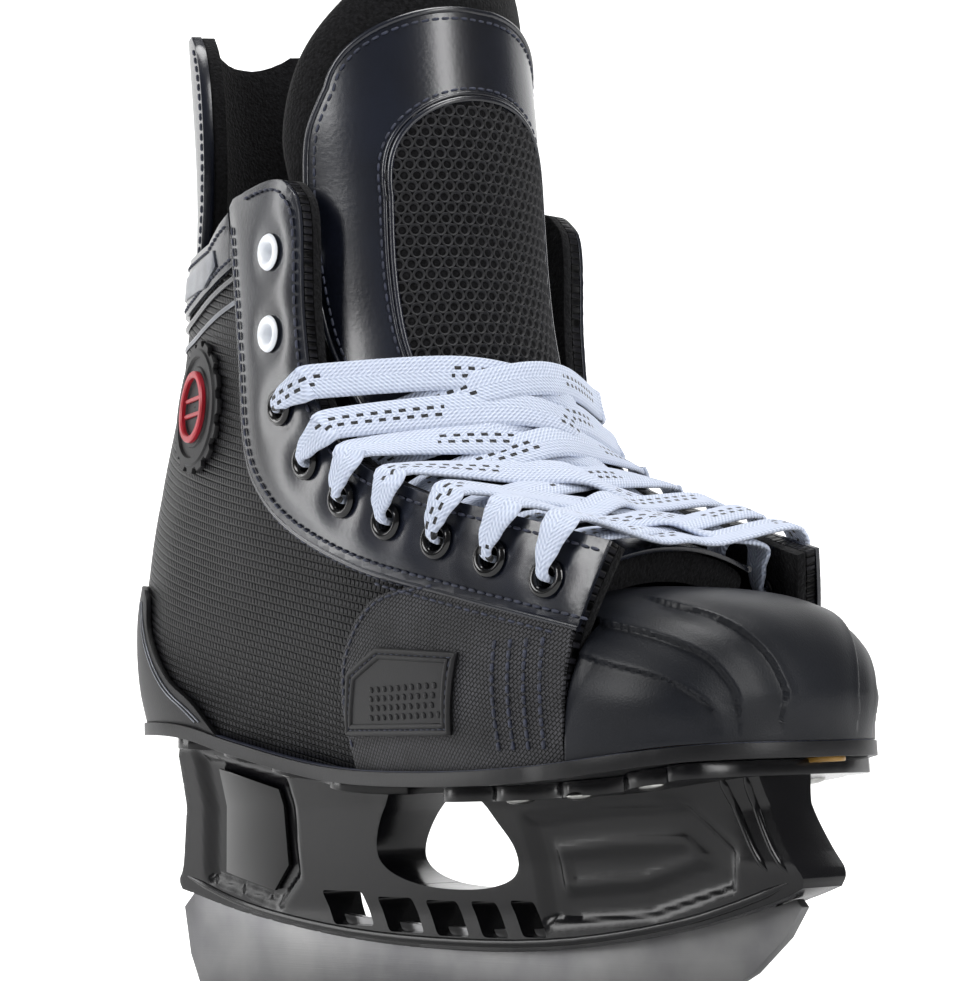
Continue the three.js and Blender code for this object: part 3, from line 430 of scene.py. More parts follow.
def lastAt(z):
    key = round(z, 3)
    if key not in knownRows:
        r = 0
        while r < len(lastRows) - 2 and z > lastRows[r + 1][0]:
            r += 1
        t = r + (z - lastRows[r][0]) / (lastRows[r + 1][0] - lastRows[r][0])
        t = max(0, min(len(lastRows) - 1, t))
        back = spline([row[1] for row in lastRows], t)
        half = [spline([row[2][k] for row in lastRows], t) for k in range(len(stationShares))]
        knownRows[key] = (back, half)
    return knownRows[key]


# A place on the boot: u runs from 0 at the heel to 1 at the front, and is negative on the outer side.
def surface(u, z):
    back, half = lastAt(z)
    t = abs(u) * (len(stationShares) - 1)
    x = back + spline(stationShares, t, 1) * (stationFront - back)
    y = spline(half, t, -1)
    return Vector((x, math.copysign(y, u) + swing(x), z))


def surfaceNormal(u, z):
    across = surface(u + 0.004, z) - surface(u - 0.004, z)
    up = surface(u, z + 0.5) - surface(u, z - 0.5)
    return -across.cross(up).normalized()


def shareAt(x, z):
    low, high = 0.0, 1.0
    for _ in range(24):
        middle = (low + high) / 2
        if surface(middle, z).x < x:
            low = middle
        else:
            high = middle
    return low


def onBoot(x, z, side, out=0.0):
    u = side * max(shareAt(x, z), 0.0005)
    normal = surfaceNormal(u, z)
    return surface(u, z) + normal * out, normal


solePoints = curved(soleLine, 40)


def soleAt(x):
    return alongLine(solePoints, x)


def soleEdge(start, end, lift, pieces=30):
    xs = [start + (end - start) * k / pieces for k in range(pieces + 1)]
    return [(x, soleAt(x) + lift) for x in xs]


# Side views reach back to here, past the heel.
heelEnd = -152
unrolled = 290  # millimetres round one side, from the heel to the front


def densified(points, step, closed=True):
    made = []
    count = len(points)
    for k in range(count if closed else count - 1):
        a, b = points[k], points[(k + 1) % count]
        pieces = max(1, int(math.dist(a, b) / step))
        made += [tuple(a[c] + (b[c] - a[c]) * j / pieces for c in range(2)) for j in range(pieces)]
    return made if closed else made + [points[-1]]


def unroll(points):
    return [(shareAt(x, z) * unrolled, z) for x, z in points]


# A closed sheet on the boot between two distances, from its outline in side view.
def bootSheet(name, outline, side, inner, outer, step=4.0, edge=0.45, both=False, puff=0.0, wave=None):
    flat = unroll(densified(outline, 2.5))
    if both:
        flat = [p for p in flat if p[0] > 0.02]
        flat = flat + [(-u, z) for u, z in reversed(flat)]
    grid = bmesh.new()
    loop = []
    for u, z in flat:
        if not loop or math.dist(loop[-1].co[:2], (u, z)) > 0.25:
            loop.append(grid.verts.new((u, z, 0)))
    grid.faces.new(loop)
    low = [min(v.co[c] for v in loop) for c in range(2)]
    high = [max(v.co[c] for v in loop) for c in range(2)]
    for c in range(2):
        cut = low[c] + step * 0.51
        while cut < high[c]:
            cutAcross(grid, c, cut)
            cut += step
    bmesh.ops.remove_doubles(grid, verts=grid.verts[:], dist=0.2)
    grid.verts.index_update()
    points = [[], []]
    uvs = []
    for v in grid.verts:
        u, z = v.co.x / unrolled, v.co.y
        if not both:
            u = side * max(u, 0.0005)
        spot, normal = surface(u, z), surfaceNormal(u, z)
        rise = 0.0
        if puff:
            near = min(math.dist((v.co.x, z), p) for p in flat)
            rise = puff * (1 - math.exp(-((near / 5) ** 2)))
        if wave:
            rise += wave(spot)
        points[0].append(spot + normal * (outer + rise))
        points[1].append(spot + normal * inner)
        uvs.append((v.co.x * (side if both else -side), z))
    count = len(points[0])
    faces = []
    for face in grid.faces:
        ring = [v.index for v in face.verts]
        faces += [ring, [count + k for k in reversed(ring)]]
    for rim in grid.edges:
        if rim.is_boundary:
            a, b = (v.index for v in rim.link_loops[0].edge.verts)
            first = rim.link_loops[0].vert.index
            a, b = (a, b) if first == a else (b, a)
            faces.append([b, a, count + a, count + b])
    grid.free()
    obj = makeMesh(name, points[0] + points[1], faces, uvs + uvs)
    facesOut(obj)
    if edge:
        softenEdges(obj, edge, 2, 50)
    smoothByAngle(obj, 50)
    return obj


# A band swept along places with normals; its section is in shares of half width and half height.
def sweep(name, places, normals, halfWidths, halfHeights, section, uvs=False):
    points, coords, faces = [], [], []
    count, ring = len(places), len(section)
    length = 0.0
    for k in range(count):
        ahead = places[min(k + 1, count - 1)]
        behind = places[max(k - 1, 0)]
        tangent = (ahead - behind).normalized()
        width = tangent.cross(normals[k]).normalized()
        rise = width.cross(tangent).normalized()
        length += (places[k] - places[k - 1]).length if k else 0
        for a, b in section:
            points.append(places[k] + width * (a * halfWidths[k]) + rise * (b * halfHeights[k]))
            coords.append((a * halfWidths[k], length))
    for k in range(count - 1):
        for j in range(ring):
            a, b = k * ring + j, k * ring + (j + 1) % ring
            faces.append([a, b, b + ring, a + ring])
    faces += [list(range(ring))[::-1], [(count - 1) * ring + j for j in range(ring)]]
    obj = makeMesh(name, points, faces, coords if uvs else None)
    facesOut(obj)
    smoothByAngle(obj, 55)
    return obj


def roundSection(sides=8):
    return [(math.cos(2 * math.pi * k / sides), math.sin(2 * math.pi * k / sides)) for k in range(sides)]


def alongBoot(path, side, out, step=2.0):
    spots = [onBoot(x, z, side, out) for x, z in densified(path, step, False)]
    return [s[0] for s in spots], [s[1] for s in spots]


def piping(name, path, side, out, radius, flatness=1.0):
    places, normals = alongBoot(path, side, out)
    count = len(places)
    return sweep(name, places, normals, [radius] * count, [radius * flatness] * count, roundSection())


# Short capsules laid end to end along a line, each a thread that dips into its holes.
def stitches(name, places, normals, pitch=3.2, length=2.5, radius=0.42):
    points, faces = [], []
    travelled, following = 0.0, pitch / 2
    for k in range(1, len(places)):
        piece = (places[k] - places[k - 1]).length
        while following <= travelled + piece and piece > 0:
            f = (following - travelled) / piece
            middle = places[k - 1].lerp(places[k], f)
            tangent = (places[k] - places[k - 1]).normalized()
            normal = normals[k]
            width = tangent.cross(normal).normalized()
            start = len(points)
            for share, size in ((-0.5, 0.35), (-0.34, 0.9), (0, 1.0), (0.34, 0.9), (0.5, 0.35)):
                centre = middle + tangent * (share * length) + normal * (radius * (size - 0.9))
                for a, b in roundSection(6):
                    points.append(centre + width * (a * radius * size) + normal * (b * radius * size))
            for r in range(4):
                for j in range(6):
                    a, b = start + r * 6 + j, start + r * 6 + (j + 1) % 6
                    faces.append([a, b, b + 6, a + 6])
            faces += [[start + j for j in range(5, -1, -1)], [start + 24 + j for j in range(6)]]
            following += pitch
        travelled += piece
    obj = makeMesh(name, points, faces)
    facesOut(obj)
    choose(obj)
    bpy.ops.object.shade_smooth()
    return obj


frontLine = [(89, 60), (91, 92), (94, 110), (101, 131)]
facingFront = [
    (101, 131), (70, 140), (38, 149), (14, 160), (-1, 178),
    (-5, 202), (-5, 230), (-9, 239), (-18, 243), (-44, 242),
]
facingEdge = curved(facingFront, 60)
collarEdge = [(-56, 237), (-68, 233)]
collarTop = 233
facingSeam = curved(
    [(-47, 240), (-41, 195), (-38, 168), (-30, 154), (-14, 142), (15, 130), (50, 120.5), (95, 109)], 40
)
quarterOutline = (
    soleEdge(heelEnd, 89, 0.3) + frontLine[1:3] + facingEdge + collarEdge + [(heelEnd, collarTop)]
)
facingOutline = facingSeam + frontLine[3:] + facingEdge[1:]
nylonRear = curved([(-4, soleAt(-4)), (0, 92), (8, 108), (22, 120), (46, 123.5)], 20)
seamTail = [p for p in facingSeam if 46 < p[0] < 93]
nylonOutline = (
    soleEdge(-4, 89, 0.3, 20) + frontLine[1:2] + [(93.6, 108.5)] + [(x, z - 0.6) for x, z in seamTail[::-1]]
    + nylonRear[:0:-1]
)
patchOutline = [(0, 84), (51, 83), (57, 104), (24, 107), (9, 101)]
collarOutline = [
    (-45.5, 222), (-48.2, 238.6), (-56, 236.6), (-68, 232.7), (heelEnd, collarTop - 0.3),
    (-152, 214), (-96, 215), (-64, 219),
]
counterOutline = soleEdge(heelEnd, -76, 0.3, 12) + curved(
    [(-76, soleAt(-76)), (-88, 95), (-101, 103), (-113, 117), (-119, 131), (-152, 133)], 24)[1:]
eyeletSpots = [
    (-19, 222), (-20, 198.5), (-16, 177), (-5, 160.5), (10.5, 148.5),
    (28.5, 141), (47, 134.5), (65.5, 128.5), (84, 122),
]
eyelets = {side: [onBoot(x, z, side) for x, z in eyeletSpots] for side in (outerSide, innerSide)}
eyelet = {"bore": 2.7, "barrel": 3.3, "hole": 3.5}
dimple = {"depth": 0.75, "flat": 4, "spread": 4.2}


# Soft dimples where the eyelets pull the padded facing in.
def dimpled(spot):
    side = outerSide if spot.y < 0 else innerSide
    near = min((spot - centre).length for centre, normal in eyelets[side])
    beyond = max(0.0, near - dimple["flat"])
    return -dimple["depth"] * math.exp(-((beyond / dimple["spread"]) ** 2))


# Rods through the boot's wall at the eyelets, to drill their holes with.
def bores(side):
    rods = []
    for spot, normal in eyelets[side]:
        bpy.ops.object.select_all(action="DESELECT")
        bpy.ops.mesh.primitive_cylinder_add(vertices=20, radius=eyelet["hole"] * metre, depth=26 * metre)
        made = bpy.context.object
        made.data.transform(Matrix.Translation((spot - normal * 2) * metre) @ turnedTo(normal))
        rods.append(made)
    return joined("bores", rods)


def drilled(obj, drill):
    applyModifier(obj, "BOOLEAN", {"object": drill, "operation": "DIFFERENCE", "solver": "EXACT"})
    smoothByAngle(obj, 50)


def threadLine(path, side, lift, *sizes):
    return stitches("thread", *alongBoot(path, side, trimOuter + lift), *sizes)


for side, name in sideNames.items():
    quarter = bootSheet(name + "Quarter", quarterOutline, side, -wall["shell"], 0, 5.0)
    lining = bootSheet(name + "Lining", quarterOutline, side, liningInner, -wall["shell"] - wall["gap"], 6.0)
    facing = bootSheet(
        name + "Facing", facingOutline, side, wall["gap"], trimOuter, 2.4, 0.6, False, 0.9, dimpled)
    drill = bores(side)
    for sheet in (quarter, lining, facing):
        drilled(sheet, drill)
    bpy.data.objects.remove(drill)
    place(quarter, finishes["embossedPu"], "boot", [name + "_quarter"])
    place(lining, finishes["felt"], "boot", [name + "_lining"])
    place(facing, finishes["smoothPu"], "boot", [name + "_facing"])

    nylon = bootSheet(name + "SidePanel", nylonOutline, side, wall["gap"], trimOuter, 4.0)
    place(nylon, finishes["nylon"], "boot", [name + "_side_panel"])
    collar = bootSheet(
        name + "CollarPanel", collarOutline, side, wall["gap"], trimOuter, 4.0, 0.5, False, 0.4)
    place(collar, finishes["smoothPu"], "boot", [name + "_collar_panel"])

    # Thread lines in side view, each with its lift off the trim: facing, panel, ball rows, collar.
    threads = [
        threadLine([(x + 2.6, z + 1.8) for x, z in facingSeam if z < 238], side, 0.75),
        threadLine([(x - 2.2, z - 2.6) for x, z in facingEdge if x > -34], side, 0.75),
        threadLine([(x + 1.4, z - 0.8) for x, z in nylonRear[2:]], side, 0.1),
        threadLine([(x, z - 3) for x, z in facingSeam if 20 < x < 88], side, 0.1),
    ]
    for row in range(4):
        line = [(68 + row * 5.2 + 0.05 * (z - 84), z) for z in range(78, 110, 2)]
        threads.append(threadLine(line, side, 0.15, 3.0, 2.5, 0.62))
    backSeam = [(x - 2.2, z - 1) for x, z in facingSeam if z < 236 and x < 60]
    threads.append(stitches("thread", *alongBoot(backSeam, side, 0.1)))
    collarLine = [(-50, 235), (-57, 233.6), (-68, 230.4), (-100, 230.2), (-112, 230.2)]
    collarFoot = [(-46, 224.5), (-64, 221.4), (-96, 217.4), (-112, 217)]
    threads += [threadLine(line, side, 0.3) for line in (collarLine, collarFoot)]
    place(joined(name + "BootStitching", threads), finishes["thread"])

    seamCord = [(x - 0.2, z - 0.2) for x, z in facingSeam if z < 238]
    collarCord = curved([(-46, 219), (-66, 216.4), (-96, 212), (-116, 211.5)], 12)
    cords = [
        piping("cord", seamCord, side, 0.8, 1.15, 0.9),
        piping("cord", collarCord, side, 0.5, 1.0, 0.8),
    ]
    place(joined(name + "SeamPiping", cords), finishes["smoothPu"])
    stripeLine = curved([(-44, 212), (-62, 210), (-92, 206), (-117, 205)], 14)
    stripe = piping(name + "CollarPiping", stripeLine, side, 0.3, 0.8, 0.6)
    place(stripe, finishes["reflective"])
print("boot panels made")

counterOuter = wall["gap"] + wall["counter"]
counter = bootSheet(
    "heelCounter", counterOutline, outerSide, wall["gap"], counterOuter, 4.0, 0.6, True, 0.5)
place(counter, finishes["rubber"], "boot", ["heel_counter"])
counterLine = [(-120, 127), (-114, 114), (-102, 100.5), (-90, 93), (-84, 89)]
pinstripes = []
for side in (outerSide, innerSide):
    for shift in (0, 2.4):
        line = curved([(x - shift, z) for x, z in counterLine], 16)
        pinstripes.append(piping("stripe", line, side, counterOuter + 0.42, 0.32, 0.5))
place(joined("counterPinstripes", pinstripes), finishes["reflective"])


# A disc on the boot's surface from rings of (radius, distance out); the outer ones may have teeth.
def discOnBoot(name, centre, side, rings, around, teeth=None):
    points = []
    for r, out in rings:
        for k in range(around):
            angle = 2 * math.pi * k / around
            reach = r * (1 + (teeth(r, angle) if teeth else 0))
            x = centre[0] + reach * math.cos(angle)
            spot, normal = onBoot(x, centre[1] + reach * math.sin(angle), side)
            points.append(spot + normal * out)
    obj = makeMesh(name, points, tubeFaces(len(rings), around))
    facesOut(obj)
    smoothByAngle(obj, 40)
    return obj


badge = {"centre": (-78, 184), "teeth": 16, "toothDepth": 0.075, "teethFrom": 18.9, "bar": 7.2,
         "barShift": 2.4}
badgeRings = [
    (0.3, 1.5), (7, 1.5), (8.2, 1.5), (8.4, 1.9), (12.2, 1.9), (12.6, 1.4), (15.2, 1.4), (15.6, 2.3),
    (17.6, 2.3), (18.0, 1.7), (19.2, 1.7), (20.2, 1.7), (20.4, 1.3), (20.4, wall["gap"]), (0.3, wall["gap"]),
]
patch = {
    "inner": trimOuter + wall["gap"],
    "outer": trimOuter + wall["gap"] + 0.9,
    "inset": [(3.5, 86.5), (49, 85.6), (53.5, 102), (25, 104.6), (11.6, 99.4), (3.5, 86.5)],
    "rim": [(0.9, 84.8), (50.3, 83.8), (56.1, 103.3), (24.3, 106.2), (9.6, 100.4), (0.9, 84.8)],
    "sewn": [(2.1, 85.6), (49.6, 84.7), (54.8, 102.7), (24.6, 105.4), (10.6, 99.9), (2.1, 85.6)],
}


def badgeTeeth(r, angle):
    if r <= badge["teethFrom"]:
        return 0
    return -badge["toothDepth"] if math.sin(angle * badge["teeth"]) > 0.25 else 0


for side, name in sideNames.items():
    disc = discOnBoot(name + "AnkleBadge", badge["centre"], side, badgeRings, 160, badgeTeeth)
    place(disc, finishes["rubber"], "boot", [name + "_ankle_badge"])
    low = wall["gap"] + 1.6
    ringRings = [(8.9, low), (8.9, 3.0), (9.3, 3.4), (10.6, 3.4), (11.0, 3.0), (11.0, low)]
    ring = discOnBoot(name + "BadgeRing", badge["centre"], side, ringRings, 72)
    bars = []
    middle, height = badge["centre"]
    for shift in (-badge["barShift"], badge["barShift"]):
        line = [(middle + end, height + shift) for end in (-badge["bar"], badge["bar"])]
        bars.append(piping("bar", line, side, 1.9, 0.75, 0.9))
    ring = joined(name + "BadgeRing", [ring] + bars)
    place(ring, finishes["red"], "boot", [name + "_badge_ring"])

    moulded = [bootSheet(name + "SidePatch", patchOutline, side, patch["inner"], patch["outer"], 3.0, 0.4)]
    for key, radius in (("inset", 0.8), ("rim", 0.9)):
        moulded.append(piping("frame", densified(patch[key], 2, False), side, patch["outer"], radius, 0.7))
    for row in range(4):
        for column in range(11):
            x = 16 + column * 3.2 + row * 1.1
            if x < 49 - row * 0.3:
                spot, normal = onBoot(x, 88.6 + row * 2.5, side, patch["outer"])
                moulded.append(dome(spot, normal, 0.95, 0.5, 8, 5))
    place(joined(name + "SidePatch", moulded), finishes["rubber"], "boot", [name + "_side_patch"])
    sewnLine = alongBoot(densified(patch["sewn"], 2, False), side, patch["outer"] + 0.1)
    threads = stitches(name + "PatchStitching", *sewnLine, 2.6, 1.8, 0.26)
    place(threads, finishes["thread"])
    plateOutline = [(-58, 224), (-60, 229.4), (-104, 226.6), (-104, 220.4), (-70, 219.6)]
    plate = bootSheet(name + "CollarPlate", plateOutline, side, trimOuter, trimOuter + 0.9, 4.0, 0.35)
    place(plate, finishes["reflective"])
    pad = discOnBoot(name + "AnklePad", (-66, 178), side, [
        (0.3, liningInner - 2.6), (12, liningInner - 2.5), (18, liningInner - 1.9),
        (20.6, liningInner - 0.6), (20.8, liningInner + 2), (20.6, -3.4), (0.3, -3.4)], 48)
    place(pad, finishes["foam"], "boot", [name + "_ankle_pad"])
print("trim made")


# An eyelet has a rolled flange outside, a barrel through the wall and a clench inside.
def eyeletRing(name, spot, normal):
    out = trimOuter + 0.7
    back = liningInner - 1.2
    profile = [
        (eyelet["bore"], back - 0.8), (4.2, back - 0.8), (4.5, back - 0.3), (4.2, back),
        (eyelet["barrel"], back), (eyelet["barrel"], out), (5.1, out), (5.35, out + 0.35),
        (5.0, out + 0.95), (4.3, out + 1.3),
        (3.6, out + 1.1), (3.0, out + 0.6), (eyelet["bore"], out),
    ]
    points = []
    around = 32
    turn = turnedTo(normal)
    for r, z in profile:
        for k in range(around):
            angle = 2 * math.pi * k / around
            points.append(spot + turn @ Vector((r * math.cos(angle), r * math.sin(angle), z)))
    obj = makeMesh(name, points, tubeFaces(len(profile), around))
    facesOut(obj)
    smoothByAngle(obj, 60)
    return obj


for side, name in sideNames.items():
    for k, (spot, normal) in enumerate(eyelets[side]):
        ring = eyeletRing(name + "Eyelet" + str(k + 1), spot, normal)
        finish, slot = ("whiteEnamel", "white_enamel") if k < 2 else ("blackEnamel", "black_enamel")
        place(ring, finishes[finish], "boot", [name + "_eyelet_" + str(k + 1)])
print("eyelets made")

# The tendon guard stands on the collar's line; its rim dips in the middle.
guard = {"foot": 233.3, "height": 70, "dip": 6, "half": 20}
guardTop = guard["foot"] + guard["height"]
guardSide = curved([
    (-87, guard["foot"]), (-82.5, guard["foot"] + 24.5), (-83, guard["foot"] + 49), (-87, guardTop - 7),
    (-93, guardTop)], 20)


# The guard's top, dipped towards the middle as an arc.
def guardRim(pieces=12):
    radius = (guard["half"] ** 2 + guard["dip"] ** 2) / (2 * guard["dip"])
    rim = []
    for k in range(pieces + 1):
        y = guard["half"] * (1 - k / pieces)
        low = radius - guard["dip"] - math.sqrt(radius ** 2 - y ** 2)
        u = 0.0
        while abs(surface(u, guardTop).y) < y:
            u += 0.002
        rim.append((surface(u, guardTop).x, guardTop + low))
    return rim


def guardSheet(name, inner, outer, edge, inset=0.0):
    side = [(x - inset, z - inset * (z - guard["foot"]) / guard["height"]) for x, z in guardSide]
    outline = [(heelEnd, guard["foot"])] + side + [(x, z - inset) for x, z in guardRim()]
    return bootSheet(name, outline, outerSide, inner, outer, 3.5, edge, True)


guardShell = guardSheet("tendonGuard", -3.2, 0, 0.8)
place(guardShell, finishes["smoothPu"], "guard", ["tendon_guard"])
guardFelt = guardSheet("tendonGuardFelt", -7.5, -3.5, 1.2, 0.3)
place(guardFelt, finishes["felt"], "guard", ["tendon_guard_lining"])
threads = []
for side in (outerSide, innerSide):
    line = [(x - 2.6, z) for x, z in guardSide if z < guardTop - 4]
    threads.append(stitches("thread", *alongBoot(line, side, 0.15)))
place(joined("tendonGuardStitching", threads), finishes["thread"], "guard")
print("tendon guard made")

# The toe cap is made of arched sections that close towards the toe.
cap = {"rear": 84, "end": 138, "half": 47.5, "top": 121, "base": 77, "wall": 2.6, "back": 79, "flank": 33,
       "tuckIn": 2.2, "tuckAside": 0.035}


def capShare(x):
    return max(0.0, min(1.0, (x - cap["rear"]) / (cap["end"] - cap["rear"])))


def capHalf(x):
    return cap["half"] * (1 - capShare(x) ** 2.6) ** (1 / 2.2)


# A place on the cap's arch at x; the angle runs from the inner side over the top.
def capPoint(x, angle):
    half = max(0.4, capHalf(max(x, cap["rear"])))
    slope = 6 * max(0, (x - 80) / 45) ** 2
    height = max(1.5, (cap["top"] - cap["base"] - slope) * (1 - capShare(x) ** 6) ** (1 / 3))
    c, s = math.cos(angle), abs(math.sin(angle))
    y = half * math.copysign(abs(c) ** (2 / 3), c)
    return Vector((x, swing(x) + y, cap["base"] + height * s ** (2 / 3)))


def frontAt(z):
    return alongLine([(height, x) for x, height in frontLine], z)


# Moulded steps as places on the cap: x and the angle up its arch. The cap is lower beyond each.
capSteps = [
    [(97, 66), (110, 62), (121, 61), (128.5, 59), (133.5, 53), (135.8, 40), (136.3, 26), (136.3, 8)],
    [(90, 45), (101, 42), (115, 38), (125, 33), (130, 23), (131.5, 13), (132, 3)],
    [(91, 27), (102.5, 23), (117, 19), (124, 14.5), (128, 9), (129, 4)],
]
capRelief = {"depth": 1.25, "reach": 6.5, "lip": 0.35, "ridge": 0.35, "ridgeReach": 2.2, "fade": 8}


# How far in each place on the cap is moved for the steps.
def reliefOf(spots, normals):
    drop = np.zeros(len(spots))
    for step in capSteps:
        for side in (outerSide, innerSide):
            angles = [(x, a if side == innerSide else 180 - a) for x, a in curved(step, 70)]
            line = np.array([capPoint(x, math.radians(a)) for x, a in angles])
            nearest = np.empty(len(spots), dtype=int)
            for start in range(0, len(spots), 2000):
                part = spots[start : start + 2000]
                away = ((part[:, None, :] - line[None, :, :]) ** 2).sum(axis=2)
                nearest[start : start + 2000] = away.argmin(axis=1)
            tangents = np.gradient(line, axis=0)[nearest]
            offset = spots - line[nearest]
            distance = np.linalg.norm(offset, axis=1)
            beyond = (np.cross(tangents, offset) * normals).sum(axis=1) * side
            signed = distance * np.sign(beyond)
            fade = np.clip(nearest / capRelief["fade"], 0, 1)
            rise = 1 / (1 + np.exp(-signed / capRelief["lip"] * 2))
            low = capRelief["depth"] * rise * np.exp(-((np.maximum(signed, 0) / capRelief["reach"]) ** 2))
            high = capRelief["ridge"] * (1 - rise) * np.exp(-((signed / capRelief["ridgeReach"]) ** 2))
            drop += (low - high) * fade
    return np.clip(drop, -0.5, 1.35)


def makeCap():
    rows, columns = 116, 216
    points, faces = [], []
    for k in range(rows + 1):
        for a in range(columns + 1):
            angle = math.pi * a / columns
            rear = capPoint(95, angle)
            start = cap["back"]
            if abs(rear.y) >= cap["flank"]:  # the flanks end at the boot's front line
                start += (frontAt(rear.z) - 78.6) * min(1, (abs(rear.y) - cap["flank"]) / 3)
            x = start + (cap["end"] - start) * math.sin(k / rows * math.pi / 2)
            point = capPoint(x, angle)
            tuck = (1 - ease(point.z, 78, 92)) * capShare(x)
            point.x -= cap["tuckIn"] * tuck
            point.y = swing(x) + (point.y - swing(x)) * (1 - cap["tuckAside"] * tuck)
            if a in (0, columns):
                point.z = soleAt(x) + 0.3
            point.z = max(point.z, soleAt(x) + 0.3)
            points.append(point)
    width = columns + 1
    for k in range(rows):
        for a in range(columns):
            at = k * width + a
            faces.append([at, at + 1, at + width + 1, at + width])
    obj = makeMesh("toeCap", points, faces)
    mesh = obj.data
    if sum(f.normal.z for f in mesh.polygons) < 0:
        mesh.flip_normals()
    openMesh(obj)
    bpy.ops.mesh.remove_doubles(threshold=0.05 * metre)
    closeMesh()
    mesh.update()
    spots = np.array([v.co for v in mesh.vertices]) / metre
    normals = np.array([v.normal for v in mesh.vertices])
    drop = reliefOf(spots, normals)
    drop *= np.clip((spots[:, 2] - 80) / 8, 0, 1) * np.clip((spots[:, 0] - 84) / 3, 0, 1)
    for k, v in enumerate(mesh.vertices):
        v.co -= Vector(normals[k] * (drop[k] * metre))
    applyModifier(obj, "SOLIDIFY", {"thickness": cap["wall"] * metre, "offset": -1})
    softenEdges(obj, 0.5, 2, 60)
    smoothByAngle(obj, 50)
    return obj


place(makeCap(), finishes["capPlastic"], "boot", ["toe_cap"])
print("toe cap made")


# Half the sole's plan from the boot's edge and the cap's, moved outward, then mirrored.
def solePlan(out):
    half = []
    for k in range(41):
        u = k / 40 * 0.985
        z = soleAt(surface(u, 84).x) + 4
        spot = surface(u, z)
        if spot.x > cap["rear"]:
            break
        normal = surfaceNormal(u, z)
        half.append((spot.x + normal.x * out, spot.y + normal.y * out - swing(spot.x)))
    for k in range(31):
        x = cap["rear"] + (cap["end"] - cap["rear"]) * math.sin(k / 30 * math.pi / 2)
        w = capHalf(x) if k < 30 else 0
        lip = out - 4.2 * ease(x, 92, 122)
        spread = lip * (w / cap["half"])
        half.append((x + lip - spread, max(0, w + spread)))
    inner = [(x, y + swing(x)) for x, y in half]
    outer = [(x, swing(x) - y) for x, y in half[1:-1]]
    return inner + outer[::-1]


# A plate that follows the sole's line between two heights, from its plan.
def soleSheet(name, plan, low, high, edge):
    grid = bmesh.new()
    grid.faces.new([grid.verts.new((x, y, 0)) for x, y in plan])
    for k in range(-28, 29):
        cutAcross(grid, 0, k * 5 + 0.6)
    for v in grid.verts:
        v.co.z = soleAt(v.co.x) + low
    mesh = bpy.data.meshes.new(name)
    grid.to_mesh(mesh)
    grid.free()
    mesh.transform(Matrix.Scale(metre, 4))
    obj = linked(name, mesh)
    mesh.update()
    if mesh.polygons[0].normal.z < 0:
        mesh.flip_normals()
    applyModifier(obj, "SOLIDIFY", {"thickness": (high - low) * metre, "offset": 1})
    facesOut(obj)
    softenEdges(obj, edge, 3, 50)
    smoothByAngle(obj, 40)
    return obj


sole = soleSheet("outsole", solePlan(2.2), -4, 0, 1.1)
place(sole, finishes["solePlastic"], "boot", ["outsole"])
welt = soleSheet("toeWelt", solePlan(0.9), 0, 0.28, 0.1)
place(welt, finishes["thread"])
inlay = {"x": 127, "y": 10, "long": 5.5, "wide": 5}
inlayPlan = []
for k in range(32):
    angle = 2 * math.pi * k / 32
    x = inlay["x"] + inlay["long"] * math.cos(angle)
    inlayPlan.append((x, swing(x) + inlay["y"] + inlay["wide"] * math.sin(angle)))
place(soleSheet("toeInlay", inlayPlan, -5.3, -3.9, 0.4), finishes["amber"])
print("outsole made")

# The tongue: a row is (x, z, radius across, half angle) along its middle line.
tongueRows = [
    (88, 131.5, 74, 24), (70, 137.5, 76, 27), (53, 145, 74, 29), (40, 154, 66, 34), (30.5, 167, 54, 47),
    (24, 183, 46, 65), (20, 200, 43, 80), (17.5, 218, 43, 87), (16, 240, 43.5, 91), (14.5, 262, 45, 92),
    (12.5, 283, 45, 80), (11, 300, 44, 56), (10, 312, 43, 26),
]
lastTongueRow = len(tongueRows) - 1
tongueLayers = {"cover": 1.1, "gap": 0.7, "felt": 8.5, "foldHeight": 200, "foldReach": 10}


def tongueField(column, t):
    return spline([row[column] for row in tongueRows], min(t, lastTongueRow))


def tongueLine(t):
    return Vector((tongueField(0, t), 0, tongueField(1, t)))


# A place on the tongue: t along its rows, a share of its half angle, and a distance out.
def onTongue(t, share, out):
    centre = tongueLine(t)
    ahead = (tongueLine(t + 0.02) - tongueLine(max(0, t - 0.02))).normalized()
    normal = Vector((ahead.z, 0, -ahead.x))
    radius = tongueField(2, t)
    angle = math.radians(share * tongueField(3, t))
    point = centre + normal * ((radius + out) * math.cos(angle) - radius)
    point.y = (radius + out) * math.sin(angle) + swing(point.x)
    return point


def rowAtHeight(z):
    low, high = 0.0, float(lastTongueRow)
    for _ in range(30):
        middle = (low + high) / 2
        if tongueLine(middle).z < z:
            low = middle
        else:
            high = middle
    return low


fold = rowAtHeight(tongueLayers["foldHeight"])


